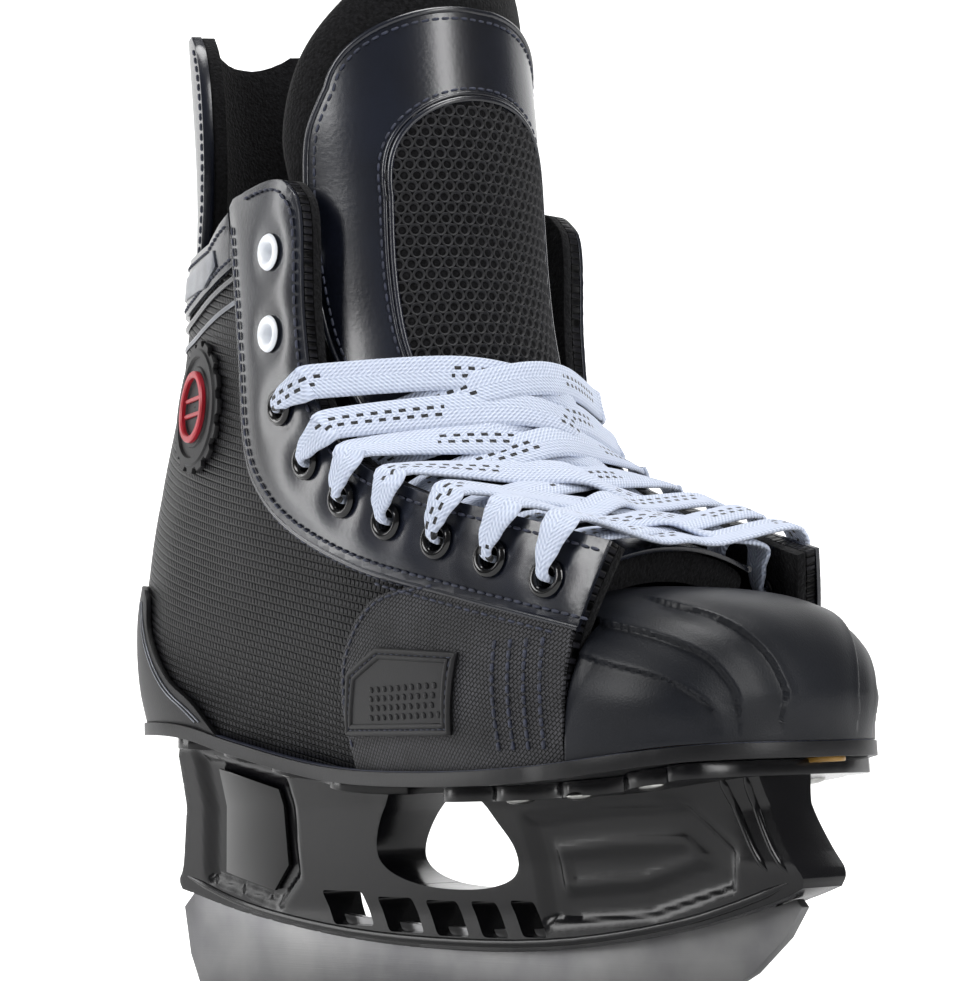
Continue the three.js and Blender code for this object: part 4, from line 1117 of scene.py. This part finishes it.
# A padded layer of the tongue with rounded edges; the section closes at its sides and its top.
def tonguePad(name, tFrom, tTo, inner, outer, rows, columns, roundness):
    middle, half = (inner + outer) / 2, (outer - inner) / 2
    points, faces = [], []
    ring = 2 * columns
    for r in range(rows + 1):
        f = r / rows
        t = tFrom + (tTo - tFrom) * f
        fromTop = (1 - f) * rows / (roundness * 2)
        endThin = math.sqrt(max(0.0, 1 - max(0.0, 1 - fromTop) ** 2)) if fromTop < 1 else 1
        for c in range(ring):
            across = c / columns if c < columns else 2 - c / columns
            s = 2 * across - 1
            thin = max(0.04, (1 - abs(s) ** 12) ** 0.5) * max(endThin, 0.05)
            up = 1 if c < columns else -1
            points.append(onTongue(t, s, middle + up * half * thin))
    for r in range(rows):
        for c in range(ring):
            a, b = r * ring + c, r * ring + (c + 1) % ring
            faces.append([a, b, b + ring, a + ring])
    for r in (0, rows):
        for c in range(columns):
            corners = [c, c + 1, (ring - c - 1) % ring, (ring - c) % ring]
            faces.append(list(dict.fromkeys(r * ring + corner for corner in corners)))
    faces = [f for f in faces if len(f) > 2]
    obj = makeMesh(name, points, faces)
    facesOut(obj)
    smoothByAngle(obj, 60)
    return obj


# A piece that runs over the tongue's fold: it gets its look, the CAD nodes it stands for are hidden, and its
# placement is baked into its mesh.
def overFold(obj, material, replaced=()):
    obj.data.materials.append(material)
    if replaced:
        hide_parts(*replaced)
    start = tongueLine(rowAtHeight(tongueLayers["foldHeight"] - tongueLayers["foldReach"] + 1))
    end = tongueLine(rowAtHeight(tongueLayers["foldHeight"] + tongueLayers["foldReach"] + 1))
    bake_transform(obj)


feltOut = -tongueLayers["cover"] - tongueLayers["gap"]
tongueFelt = tonguePad(
    "tongueFelt", 0.12, lastTongueRow, feltOut - tongueLayers["felt"], feltOut, 110, 72, 2)
overFold(tongueFelt, finishes["felt"], ["tongue_lower_felt", "tongue_upper_felt"])


coverEdge = [(0, 0.93), (4.5, 0.93), (6.2, 0.9), (8.1, 0.84), (9.0, 0.765), (9.5, 0.71)]
coverTop, coverShoulder = 10.62, 9.5


# The cover narrows up the tongue, and its top is an arch.
def coverShare(t):
    if t >= coverShoulder:
        rise = min(1.0, (t - coverShoulder) / (coverTop - coverShoulder))
        return coverEdge[-1][1] * (1 - rise ** 2.3) ** (1 / 2.3)
    for (ta, sa), (tb, sb) in zip(coverEdge, coverEdge[1:]):
        if t <= tb:
            return sa + (sb - sa) * (t - ta) / (tb - ta)


def coverPlace(t, s, out=0.0):
    return onTongue(t, s * coverShare(t), out)


# A closed sheet on the tongue; spotOf gives its places from shares along and across.
def tongueSheet(name, spotOf, rows, columns, inner, outer):
    points, faces = [], []
    for out in (outer, inner):
        for r in range(rows + 1):
            for c in range(columns + 1):
                points.append(spotOf(r / rows, 2 * c / columns - 1, out))
    width = columns + 1
    count = (rows + 1) * width
    for r in range(rows):
        for c in range(columns):
            a = r * width + c
            quad = [a, a + 1, a + width + 1, a + width]
            faces += [quad, [count + k for k in reversed(quad)]]
    border = list(range(width)) + [r * width + columns for r in range(1, rows + 1)]
    border += [rows * width + c for c in range(columns - 1, -1, -1)]
    border += [r * width for r in range(rows - 1, 0, -1)]
    for k, a in enumerate(border):
        b = border[(k + 1) % len(border)]
        faces.append([b, a, count + a, count + b])
    obj = makeMesh(name, points, faces)
    facesOut(obj)
    softenEdges(obj, 0.5, 3, 50)
    smoothByAngle(obj, 50)
    return obj


# The cover's rows crowd towards its arch, so that the arch stays round.
def coverRow(f):
    if f < 0.7:
        return coverShoulder * f / 0.7
    return coverShoulder + (coverTop - 0.004 - coverShoulder) * math.sin((f - 0.7) / 0.3 * math.pi / 2)


cover = tongueSheet(
    "tongueCover", lambda f, s, out: coverPlace(coverRow(f), s, out), 150, 44, -tongueLayers["cover"], 0)
overFold(cover, finishes["smoothPu"], ["tongue_lower_cover", "tongue_upper_cover"])


# Lines on the tongue as (row, share) pairs.
def tongueSpots(line, out):
    places = [onTongue(t, s, out) for t, s in line]
    normals = [(onTongue(t, s, out + 1) - onTongue(t, s, out)).normalized() for t, s in line]
    return places, normals


def tonguePiping(name, line, out, radius, flatness=1.0):
    places, normals = tongueSpots(line, out)
    count = len(places)
    return sweep(name, places, normals, [radius] * count, [radius * flatness] * count, roundSection())


# The window: straight sides that draw in a little, then an arch; its rows are t along the tongue.
window = {"low": 4.6, "shoulder": 7.9, "top": 9.2, "lowShare": 0.57, "share": 0.45, "pitch": 3.7}


def windowShare(t):
    if t <= window["shoulder"]:
        f = (t - window["low"]) / (window["shoulder"] - window["low"])
        return window["lowShare"] + (window["share"] - window["lowShare"]) * f
    rise = min(1.0, (t - window["shoulder"]) / (window["top"] - window["shoulder"]))
    return window["share"] * (1 - rise ** 2.2) ** (1 / 2.2)


def windowRow(f):
    if f < 0.6:
        return window["low"] + (window["shoulder"] - window["low"]) * f / 0.6
    arch = window["top"] - window["shoulder"]
    return window["shoulder"] + arch * math.sin((f - 0.6) / 0.4 * math.pi / 2)


perRow, perShare = 20, 62  # millimetres in one row and in one share, near the window


# The window's border, moved outward by some millimetres.
def archEdge(grow, pieces=80):
    line = []
    for k in range(pieces + 1):
        t = windowRow(k / pieces)
        slope = (windowShare(t) - windowShare(t - 0.05)) / 0.05 * 44 / perRow
        lean = 1 / math.sqrt(1 + slope ** 2)
        line.append((t - slope * lean * grow / perRow, windowShare(t) + lean * grow / perShare))
    line[-1] = (window["top"] + grow / perRow, 0)
    return [(t, -h) for t, h in line] + [(t, h) for t, h in reversed(line[:-1])]


edgeLine = []
for k in range(121):
    t = coverRow(k / 120)
    edgeLine.append((t, -coverShare(t)))
wholeEdge = edgeLine + [(t, -s) for t, s in reversed(edgeLine[:-1])]
insetEdge = [(t - 0.16 * max(0, t - 9) / 1.6, s * (1 - 3.2 / perShare)) for t, s in wholeEdge]
upperInset = [(t, s) for t, s in insetEdge if t > 2]
cords = [
    tonguePiping("cord", wholeEdge, -0.1, 1.0, 0.9),
    tonguePiping("cord", archEdge(0.9), 0.25, 1.0, 0.85),
    tonguePiping("cord", archEdge(2.5), 0.05, 0.7, 0.7),
]
overFold(joined("tonguePiping", cords), finishes["smoothPu"])
threads = [stitches("thread", *tongueSpots(line, 0.12)) for line in (upperInset, archEdge(3.8, 160))]
overFold(joined("tongueStitching", threads), finishes["thread"])


# The window's knit: hexagonal holes in offset rows, each a ring of faces from its rim to its cell.
knitRadius = tongueField(2, fold + 2)


def knitPlace(y, z):
    t = rowAtHeight(z)
    return t, math.degrees(y / knitRadius) / tongueField(3, t)


def knitCells():
    low = tongueLine(window["low"]).z
    rise = window["pitch"] * 0.866
    cells = []
    for r in range(int((tongueLine(window["top"]).z - low) / rise) + 2):
        for c in range(-12, 13):
            y, z = (c + 0.5 * (r % 2)) * window["pitch"], low + r * rise
            t, share = knitPlace(abs(y), z)
            if window["low"] <= t < window["top"] and share < windowShare(t) + 0.012:
                cells.append((y, z))
    return cells


def makeKnit():
    outer = window["pitch"] / math.sqrt(3)
    points, faces = [], []
    for y, z in knitCells():
        start = len(points)
        for reach, out in ((1.0, 0.5), (0.80, 0.78), (0.58, 0.5), (0.54, 0.1)):
            for k in range(12):
                size = outer * reach
                if reach == 1.0:  # the rim is a hexagon, so that neighbours share it
                    size *= math.cos(math.radians(30)) / math.cos(math.radians((k * 30 + 30) % 60 - 30))
                angle = math.radians(k * 30)
                t, share = knitPlace(y + size * math.sin(angle), z + size * math.cos(angle))
                points.append(onTongue(t, share, out))
        for i in range(3):
            for k in range(12):
                a, b = start + i * 12 + k, start + i * 12 + (k + 1) % 12
                faces.append([a, b, b + 12, a + 12])
    obj = makeMesh("tongueMesh", points, faces)
    openMesh(obj)
    bpy.ops.mesh.remove_doubles(threshold=0.06 * metre)
    closeMesh()
    if sum(f.normal.x for f in obj.data.polygons) < 0:
        obj.data.flip_normals()
    applyModifier(obj, "SOLIDIFY", {"thickness": 0.35 * metre, "offset": -1})
    smoothByAngle(obj, 70)
    return obj


def backingPlace(f, s, out):
    t = windowRow(f * 0.999)
    return onTongue(t, s * windowShare(t), out)


overFold(makeKnit(), finishes["mesh"], ["tongue_mesh"])
backing = tongueSheet("windowBacking", backingPlace, 60, 20, -0.5, 0.08)
overFold(backing, finishes["felt"])
print("tongue made")

# The lace takes the CAD part's route as a braided ribbon; sizes are half width and half height.
lace = {"firstLaced": 3, "middles": (5.2, 2.7), "steps": 7}
sections = {"flat": (5.2, 0.85), "gathered": (1.7, 0.9), "halfGathered": (3.7, 0.9)}


# The tongue row that lies square in from a place in side view.
def laceT(x, z):
    best, least = 0.0, 1e9
    t = 0.0
    while t < fold:
        centre = tongueLine(t)
        ahead = (tongueLine(t + 0.02) - centre).normalized()
        off = abs((x - centre.x) * ahead.x + (z - centre.z) * ahead.z)
        if off < least:
            best, least = t, off
        t += 0.02
    return best


# What the lace needs to know at an eyelet: the facing's edge nearest to it, and the way there.
def lacePlace(k, side):
    spot, normal = eyelets[side][k]
    edgeXZ = min(curved(facingFront, 80), key=lambda p: math.dist(p, eyeletSpots[k]))
    edge, edgeNormal = onBoot(edgeXZ[0], edgeXZ[1], side)
    toEdge = (edge - spot).normalized()
    width = (toEdge.cross(normal) * side).normalized()
    return {"spot": spot, "normal": normal, "edge": edge, "edgeNormal": edgeNormal, "toEdge": toEdge,
            "width": width, "t": laceT(*edgeXZ), "side": side}


# The lace is made of (place, width direction, size) knots; these run from an eyelet over the facing.
def overFacing(at):
    middle = at["spot"].lerp(at["edge"], 0.55)
    lift = trimOuter + 1.2 + 2
    spot, normal, edge, up, to = (at[key] for key in ("spot", "normal", "edge", "edgeNormal", "toEdge"))
    return [
        (spot.copy(), at["width"], sections["gathered"]),
        (spot + normal * (trimOuter + 1.6), at["width"], sections["gathered"]),
        (spot + normal * (trimOuter + 3.6) + to * 1.8, at["width"], sections["gathered"]),
        (middle + normal * (lift + 1), at["width"], sections["halfGathered"]),
        (edge + up * lift + to * 0.4, at["width"], sections["flat"]),
        (edge - up + to * 4.2, at["width"], sections["flat"]),
    ]


# From an eyelet's back, under the lining, to the facing's edge.
def underFacing(at):
    middle = at["spot"].lerp(at["edge"], 0.5)
    under = liningInner - 1.2 - 1.9
    return [
        (at["spot"] + at["normal"] * (liningInner - 2.4), at["width"], sections["gathered"]),
        (middle + at["normal"] * under, at["width"], sections["halfGathered"]),
        (at["edge"] + at["edgeNormal"] * under + at["toEdge"] * 0.5, at["width"], sections["flat"]),
    ]


def acrossTongue(start, end, heights):
    made = []
    for k, height in enumerate(heights):
        f = (k + 1) / (len(heights) + 1)
        reach = 0.78 * (1 - 2 * f) * start["side"]
        t = start["t"] + (end["t"] - start["t"]) * f
        width = (onTongue(t - 0.06, reach, height) - onTongue(t + 0.06, reach, height)).normalized()
        if width.dot(start["width"]) < 0:
            width = -width
        made.append((onTongue(t, reach, height), width, sections["flat"]))
    return made


# Half the lace, from the toe up; each crossing starts under one facing and ends over the other.
def strand(side, middleHeight):
    knots = []
    for k in range(len(eyeletSpots) - 1, lace["firstLaced"] - 1, -1):
        start, end = lacePlace(k, side), lacePlace(k - 1, -side)
        knots += underFacing(start) + acrossTongue(start, end, [3.6, middleHeight, 3.9])
        knots += overFacing(end)[::-1]
        side = -side
    last = lacePlace(lace["firstLaced"] - 1, side)
    inside = liningInner - 1.2 - 2.4
    knots.append((last["spot"] + last["normal"] * inside, last["width"], sections["gathered"]))
    for drop in (8, 18, 30):
        spot, normal = onBoot(last["spot"].x - drop * 0.5, last["spot"].z - drop, side)
        size = (1.0, 1.0) if drop == 30 else sections["halfGathered"]
        knots.append((spot + normal * inside, -last["toEdge"], size))
    return knots


def makeLace():
    lastEyelet = len(eyeletSpots) - 1
    start, end = lacePlace(lastEyelet, innerSide), lacePlace(lastEyelet, outerSide)
    bar = overFacing(start) + acrossTongue(start, end, [3, 2.4, 3]) + overFacing(end)[::-1]
    knots = strand(innerSide, lace["middles"][0])[::-1] + bar + strand(outerSide, lace["middles"][1])
    section = [
        (-1, -0.35), (-0.9, -0.85), (-0.6, -1), (0, -1.05), (0.6, -1), (0.9, -0.85), (1, -0.35),
        (1, 0.35), (0.9, 0.85), (0.6, 1), (0, 1.05), (-0.6, 1), (-0.9, 0.85), (-1, 0.35),
    ]
    places, normals, halfWidths, halfHeights = [], [], [], []
    lastWidth = None
    for i in range((len(knots) - 1) * lace["steps"] + 1):
        at = i / lace["steps"]
        k = min(int(at), len(knots) - 2)
        first = max(0, k - 2)
        near = [knot[0] for knot in knots[first : k + 4]]
        places.append(Vector([spline([spot[c] for spot in near], at - first) for c in range(3)]))
        width = knots[k][1].lerp(knots[k + 1][1], at - k)
        if lastWidth and width.dot(lastWidth) < 0:
            width = -width
        lastWidth = width.copy()
        normals.append(width)
        share = ease(at, k, k + 1)
        halfWidths.append(knots[k][2][0] * (1 - share) + knots[k + 1][2][0] * share)
        halfHeights.append(knots[k][2][1] * (1 - share) + knots[k + 1][2][1] * share)
    count = len(places)
    for k in range(count):
        tangent = (places[min(k + 1, count - 1)] - places[max(k - 1, 0)]).normalized()
        width = (normals[k] - tangent * normals[k].dot(tangent)).normalized()
        normals[k] = width.cross(tangent)
    return sweep("lace", places, normals, halfWidths, halfHeights, section, True)


place(makeLace(), finishes["lace"], "boot", ["lace"])
print("lace made")

# The blade holder's lower edge, where the runner meets it.
railLine = curved([
    (-134, 36), (-100, 29), (-50, 23), (0, 21), (45, 22.7), (90, 29), (125, 37.5), (148, 46)], 60)
holder = {
    "top": -4.3, "flangeLow": -8.3, "rearHalf": 18, "frontHalf": 25, "railHalf": 6.5, "waist": 9,
    "grid": 1.5, "edge": 1.2, "slotFoot": 3.9, "slotHeight": 10.2, "slotLean": 2.4,
}
recess = {"rear": 2.5, "front": 2.3, "panel": 1.1, "groove": 0.7}


def railAt(x):
    return alongLine(railLine, x)


# Side view places from (x, share of the height between the rail and the holder's top).
def inHolder(points):
    return [(x, railAt(x) + share * (soleAt(x) + holder["top"] - railAt(x))) for x, share in points]


slots = [(-59, -40), (-33, -17), (-11, 3), (9, 20), (26, 36)]


# The holder's half width: a thin rail that flares towards the sole, and draws in at the nose.
def towerHalf(x, z):
    waist = holder["waist"]
    top = holder["rearHalf"] + (holder["frontHalf"] - holder["rearHalf"]) * ease(x, -32, 24)
    top = waist + (top - waist) * (1 - 0.8 * ease(x, 90, 124))
    low = holder["railHalf"] - 2.2 * ease(x, 100, 134)
    flare = low + 0.42 * (top - low)
    rows = [(low, -0.1), (low, 0.16), (waist, 0.38), (flare, 0.62), (top, 0.86), (top + 1, 1.1)]
    share = (z - 21) / 67
    for (ha, sa), (hb, sb) in zip(rows, rows[1:]):
        if share <= sb:
            return ha + (hb - ha) * (share - sa) / (sb - sa)
    return top


# How far inside an outline a place is, in millimetres; negative outside.
def depthInside(x, z, outline):
    near, inside = 1e9, False
    for k, (xa, za) in enumerate(outline):
        xb, zb = outline[(k + 1) % len(outline)]
        dx, dz = xb - xa, zb - za
        f = max(0, min(1, ((x - xa) * dx + (z - za) * dz) / (dx * dx + dz * dz + 1e-9)))
        near = min(near, math.hypot(x - xa - f * dx, z - za - f * dz))
        if (za > z) != (zb > z) and x < xa + (z - za) * dx / dz:
            inside = not inside
    return near if inside else -near


rearRecess = inHolder([(-119, 0.14), (-84, 0.1), (-72, 0.3), (-69, 0.86), (-110, 0.9)])
frontRecess = inHolder([
    (38, 0.16), (80, 0.13), (112, 0.18), (114, 0.42), (100, 0.8), (66, 0.84), (37, 0.8)])


# The front recess has a raised panel in its middle, with a groove within that.
def holderHalf(x, z):
    half = towerHalf(x, z)
    if x < -60:
        half -= recess["rear"] * ease(depthInside(x, z, rearRecess), -1.4, 1.9)
    if x > 30:
        inside = depthInside(x, z, frontRecess)
        half -= recess["front"] * ease(inside, -1.4, 2.2)
        half += recess["panel"] * ease(inside, 7, 9.6) - recess["groove"] * ease(inside, 10.5, 12.6)
    return half


def prism(outline, half, edge):
    count = len(outline)
    points = [Vector((x, y, z)) for y in (-half, half) for x, z in outline]
    faces = [list(range(count)), list(range(2 * count - 1, count - 1, -1))]
    faces += [[k, count + k, count + (k + 1) % count, (k + 1) % count] for k in range(count)]
    obj = makeMesh("prism", points, faces)
    facesOut(obj)
    softenEdges(obj, edge, 4, 30)
    return obj


def makeHolder():
    opening = curved([
        (19, 0.99), (25, 0.8), (30, 0.62), (28, 0.46), (17, 0.385), (0, 0.365), (-17, 0.385),
        (-28.5, 0.45), (-32, 0.56), (-28, 0.76), (-18, 0.99)], 70)
    nose = curved([(136, 0.0), (136.5, 0.1), (131.5, 0.36), (126, 0.68), (123.5, 0.99)], 20)
    heel = curved([(-118, 0.99), (-121, 0.8), (-126, 0.5), (-131, 0.18), (-134.6, 0.06), (-134, 0)], 20)
    frontTop = [(x, soleAt(x) + holder["top"]) for x in range(119, 22, -6)]
    rearTop = [(x, soleAt(x) + holder["top"]) for x in range(-22, -116, -6)]
    outline = [p for p in railLine[1:-1] if p[0] < 134]
    outline += inHolder(nose) + frontTop + inHolder(opening) + rearTop + inHolder(heel)
    grid = bmesh.new()
    loop = []
    for x, z in outline:
        if not loop or math.dist(loop[-1].co[:2], (x, z)) > 0.3:
            loop.append(grid.verts.new((x, z, 0)))
    grid.faces.new(loop)
    for c, low, high in ((0, -136, 150), (1, 20, 90)):
        cut = low
        while cut < high:
            cutAcross(grid, c, cut)
            cut += holder["grid"]
    bmesh.ops.remove_doubles(grid, verts=grid.verts[:], dist=0.25)
    grid.verts.index_update()
    halves = [holderHalf(v.co.x, v.co.y) for v in grid.verts]
    points = [Vector((v.co.x, side * halves[v.index], v.co.y)) for side in (-1, 1) for v in grid.verts]
    count = len(grid.verts)
    rims = {v.index for v in grid.verts if v.is_boundary}
    faces = []
    for face in grid.faces:
        ring = [v.index for v in face.verts]
        faces += [ring, [count + k for k in reversed(ring)]]
    for rim in grid.edges:
        if rim.is_boundary:
            first = rim.link_loops[0].vert.index
            last = rim.link_loops[0].link_loop_next.vert.index
            faces.append([last, first, count + first, count + last])
    grid.free()
    obj = makeMesh("bladeHolder", points, faces)
    facesOut(obj)
    weights = obj.data.attributes.new("bevel_weight_edge", "FLOAT", "EDGE")
    for rim in obj.data.edges:
        a, b = rim.vertices
        if a % count in rims and b % count in rims and (a < count) == (b < count):
            weights.data[rim.index].value = 1
    settings = {"width": holder["edge"] * metre, "segments": 3, "limit_method": "WEIGHT"}
    applyModifier(obj, "BEVEL", settings)
    for low, high in slots:
        foot = railAt((low + high) / 2) + holder["slotFoot"]
        top, lean = foot + holder["slotHeight"], holder["slotLean"]
        slot = [(low + lean, foot), (high + lean, foot), (high - lean, top), (low - lean, top)]
        cutter = prism(slot, 30, 1.5)
        applyModifier(obj, "BOOLEAN", {"object": cutter, "operation": "DIFFERENCE", "solver": "EXACT"})
        bpy.data.objects.remove(cutter)
    smoothByAngle(obj, 40)
    return obj


# A flange under the sole with a lobe at each rivet.
def flange(start, end, half, rivets):
    edge = []
    pieces = int((end - start) / 2.5)
    for k in range(pieces + 1):
        x = start + (end - start) * k / pieces
        near = min(x - start, end - x)
        corner = 1 - (1 - min(1, near / 9)) ** 2
        lobe = max(math.exp(-(((x - r) / 7.5) ** 4)) for r in rivets)
        edge.append((x, (half - 5 + 5 * lobe) * (0.55 + 0.45 * math.sqrt(corner))))
    plan = [(x, y + swing(x)) for x, y in edge] + [(x, swing(x) - y) for x, y in reversed(edge)]
    return soleSheet("flange", plan, holder["flangeLow"], holder["top"], 0.9)


# A copy of a CAD node's solid with its doubles merged, its flat facets joined and its edges eased.
def eased(name, node, width, angle):
    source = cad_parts[node]
    mesh = source.data.copy()
    obj = linked(name, mesh)
    mesh.transform(source.matrix_world)
    mesh.materials.clear()
    openMesh(obj)
    bpy.ops.mesh.remove_doubles(threshold=0.02 * metre)
    bpy.ops.mesh.dissolve_limited(angle_limit=math.radians(1.5))
    bpy.ops.mesh.customdata_custom_splitnormals_clear()
    closeMesh()
    softenEdges(obj, width, 2, angle)
    smoothByAngle(obj, 32)
    return obj


holderPieces = [
    makeHolder(),
    flange(-119, -14, 25.5, (-106, -82, -58, -30)),
    flange(22, 126, 36.5, (34, 56, 82, 106, 120)),
]
bladeHolder = joined("bladeHolder", holderPieces)
place(bladeHolder, finishes["holderPlastic"], "boot", ["blade_holder"])
runner = eased("runner", "runner", 0.25, 50)
place(runner, finishes["steel"], "boot", ["runner"])
for side, name in sideNames.items():
    insert = eased(name + "TowerInsert", name + "_tower_insert", 0.35, 40)
    place(insert, finishes["gloss"], "boot", [name + "_tower_insert"])


# Raised lines on the holder's side, from a line in side view.
def holderRidge(path, side, sunk, radius, flatness=0.8):
    path = densified(path, 2, False)
    places = [Vector((x, side * (holderHalf(x, z) - sunk), z)) for x, z in path]
    normals = [Vector((0, side, 0))] * len(places)
    sizes = [radius * (0.35 + 0.65 * min(1, k / 4, (len(path) - 1 - k) / 4)) for k in range(len(path))]
    return sweep("ridge", places, normals, sizes, [size * flatness for size in sizes], roundSection())


ridgePaths = [
    [(119.5, 0.94), (121, 0.7), (126.5, 0.38), (132, 0.16)],
    [(112.5, 0.94), (114.5, 0.74), (120, 0.42), (125, 0.22)],
    [(-130, 0.1), (-100, 0.045), (-60, 0.04), (0, 0.05), (60, 0.05), (100, 0.06), (131, 0.09)],
]
ridges = []
for side in (outerSide, innerSide):
    for path in ridgePaths:
        ridges.append(holderRidge(inHolder(curved(path, 30)), side, 0.3, 1.3))
place(joined("holderRidges", ridges), finishes["holderPlastic"])

# Rivets under the flanges: the CAD part's three a side, and two more.
rivetPlaces = [
    ("rear", -82, 20), ("ball", 56, 31), ("toe", 106, 30), ("middle", -58, 20.5), ("front", 82, 33),
]


def rivetHead(x, y):
    slope = (soleAt(x + 1) - soleAt(x - 1)) / 2
    axis = Vector((-slope, 0, 1)).normalized()
    spot = Vector((x, y, soleAt(x) + holder["flangeLow"]))
    return dome(spot + axis * 0.2, axis, 4, 0.32, 24, 12)


for side, name in sideNames.items():
    for where, x, y in rivetPlaces:
        head = rivetHead(x, side * y)
        head.name = name + where.capitalize() + "Rivet"
        node = name + "_" + where + "_rivet"
        replaced = [node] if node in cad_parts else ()
        place(head, finishes["rivetSteel"], "boot", replaced)
print("holder made")

# Two CAD nodes are shown as they are, with a look of their own.
for node, finish in {"lasting_board": "board", "footbed": "foam"}.items():
    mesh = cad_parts[node]
    mesh.data.materials.clear()
    mesh.data.materials.append(finishes[finish])

bpy.ops.object.select_all(action="DESELECT")
# A sheet of pale paper: a floor that curves up behind, square to the camera.
paper = {"behind": 2.6, "ahead": 3.0, "half": 4.0, "height": 3.2, "bend": 0.9, "glow": 0.9, "below": 0.0004}
profile = [(-paper["ahead"], -paper["below"])]
for k in range(13):
    angle = math.radians(90 * k / 12)
    reach = paper["behind"] - paper["bend"] + paper["bend"] * math.sin(angle)
    profile.append((reach, paper["bend"] * (1 - math.cos(angle)) - paper["below"]))
profile.append((paper["behind"], paper["height"]))
away, aside = Vector((-0.7493, 0.6623, 0)), Vector((0.6623, 0.7493, 0))
points = []
for reach, z in profile:
    for half in (-paper["half"], paper["half"]):
        points.append((away * reach + aside * half + Vector((0, 0, z))) / metre)
faces = [[2 * k, 2 * k + 1, 2 * k + 3, 2 * k + 2] for k in range(len(profile) - 1)]
sheet = makeMesh("paperSheet", points, faces)
if sheet.data.polygons[0].normal.z < 0:
    sheet.data.flip_normals()
smoothByAngle(sheet, 60)
# Pale matt paper that glows towards the back, so that it fades to white without a line.
paperMaterial, paperTree, paperShader = newMaterial("paper, pale", 0.9)
paperShader.inputs["Base Color"].default_value = linear("#e9e9e9")
paperShader.inputs["Emission Color"].default_value = (1, 1, 1, 1)
where = addNode(paperTree, "ShaderNodeTexCoord").outputs["Object"]
distance = addNode(paperTree, "ShaderNodeVectorMath", {"operation": "DOT_PRODUCT"}, {
    0: where, 1: tuple(away)})
glow = addNode(paperTree, "ShaderNodeMapRange", None, {
    "Value": distance.outputs["Value"], "From Min": 0.0, "From Max": 0.35, "To Max": paper["glow"]})
paperTree.links.new(glow.outputs["Result"], paperShader.inputs["Emission Strength"])
sheet.data.materials.append(paperMaterial)

world = bpy.data.worlds.new("studio")
bpy.context.scene.world = world
world.use_nodes = True
background = world.node_tree.nodes["Background"]
background.inputs["Color"].default_value = (1, 1, 1, 1)
background.inputs["Strength"].default_value = 0.14
bpy.context.scene.view_settings.view_transform = "Standard"


def softLight(name, spot, target, size, power):
    data = bpy.data.lights.new(name, "AREA")
    data.shape = "RECTANGLE"
    data.size, data.size_y = size
    data.energy = power
    light = linked(name, data)
    light.location = spot
    light.rotation_euler = (Vector(target) - Vector(spot)).to_track_quat("-Z", "Y").to_euler()


softLight("keyLight", (-0.14, -1.52, 1.06), (0, 0, 0.14), (0.75, 0.85), 20)
softLight("heelLight", (-1.3, -0.9, 0.5), (0, 0, 0.18), (0.3, 1.1), 7)
softLight("sideLight", (1.5, 0.2, 0.7), (0, 0, 0.14), (0.35, 1.2), 15)
softLight("topLight", (0.2, 0.1, 1.5), (0, 0, 0.1), (0.7, 0.7), 15)

# The camera stands low in front of the toe, a little to the outer side; its angles are degrees.
camera = {"place": (0.6558, -0.5699, 0.0792), "azimuth": 48.5, "lift": 4.9, "roll": 1.42, "lens": 109.4}
azimuth, lift, roll = (math.radians(camera[key]) for key in ("azimuth", "lift", "roll"))
ahead = Vector((-math.sin(azimuth) * math.cos(lift), math.cos(azimuth) * math.cos(lift), math.sin(lift)))
right = Vector((math.cos(azimuth), math.sin(azimuth), 0))
above = right.cross(ahead)
rolledRight = right * math.cos(roll) - above * math.sin(roll)
rolledUp = right * math.sin(roll) + above * math.cos(roll)
data = bpy.data.cameras.new("camera")
data.lens = camera["lens"]
data.sensor_width = 36
cameraObject = linked("camera", data)
turn = Matrix((rolledRight, rolledUp, -ahead)).transposed().to_4x4()
cameraObject.matrix_world = Matrix.Translation(camera["place"]) @ turn
bpy.context.scene.camera = cameraObject
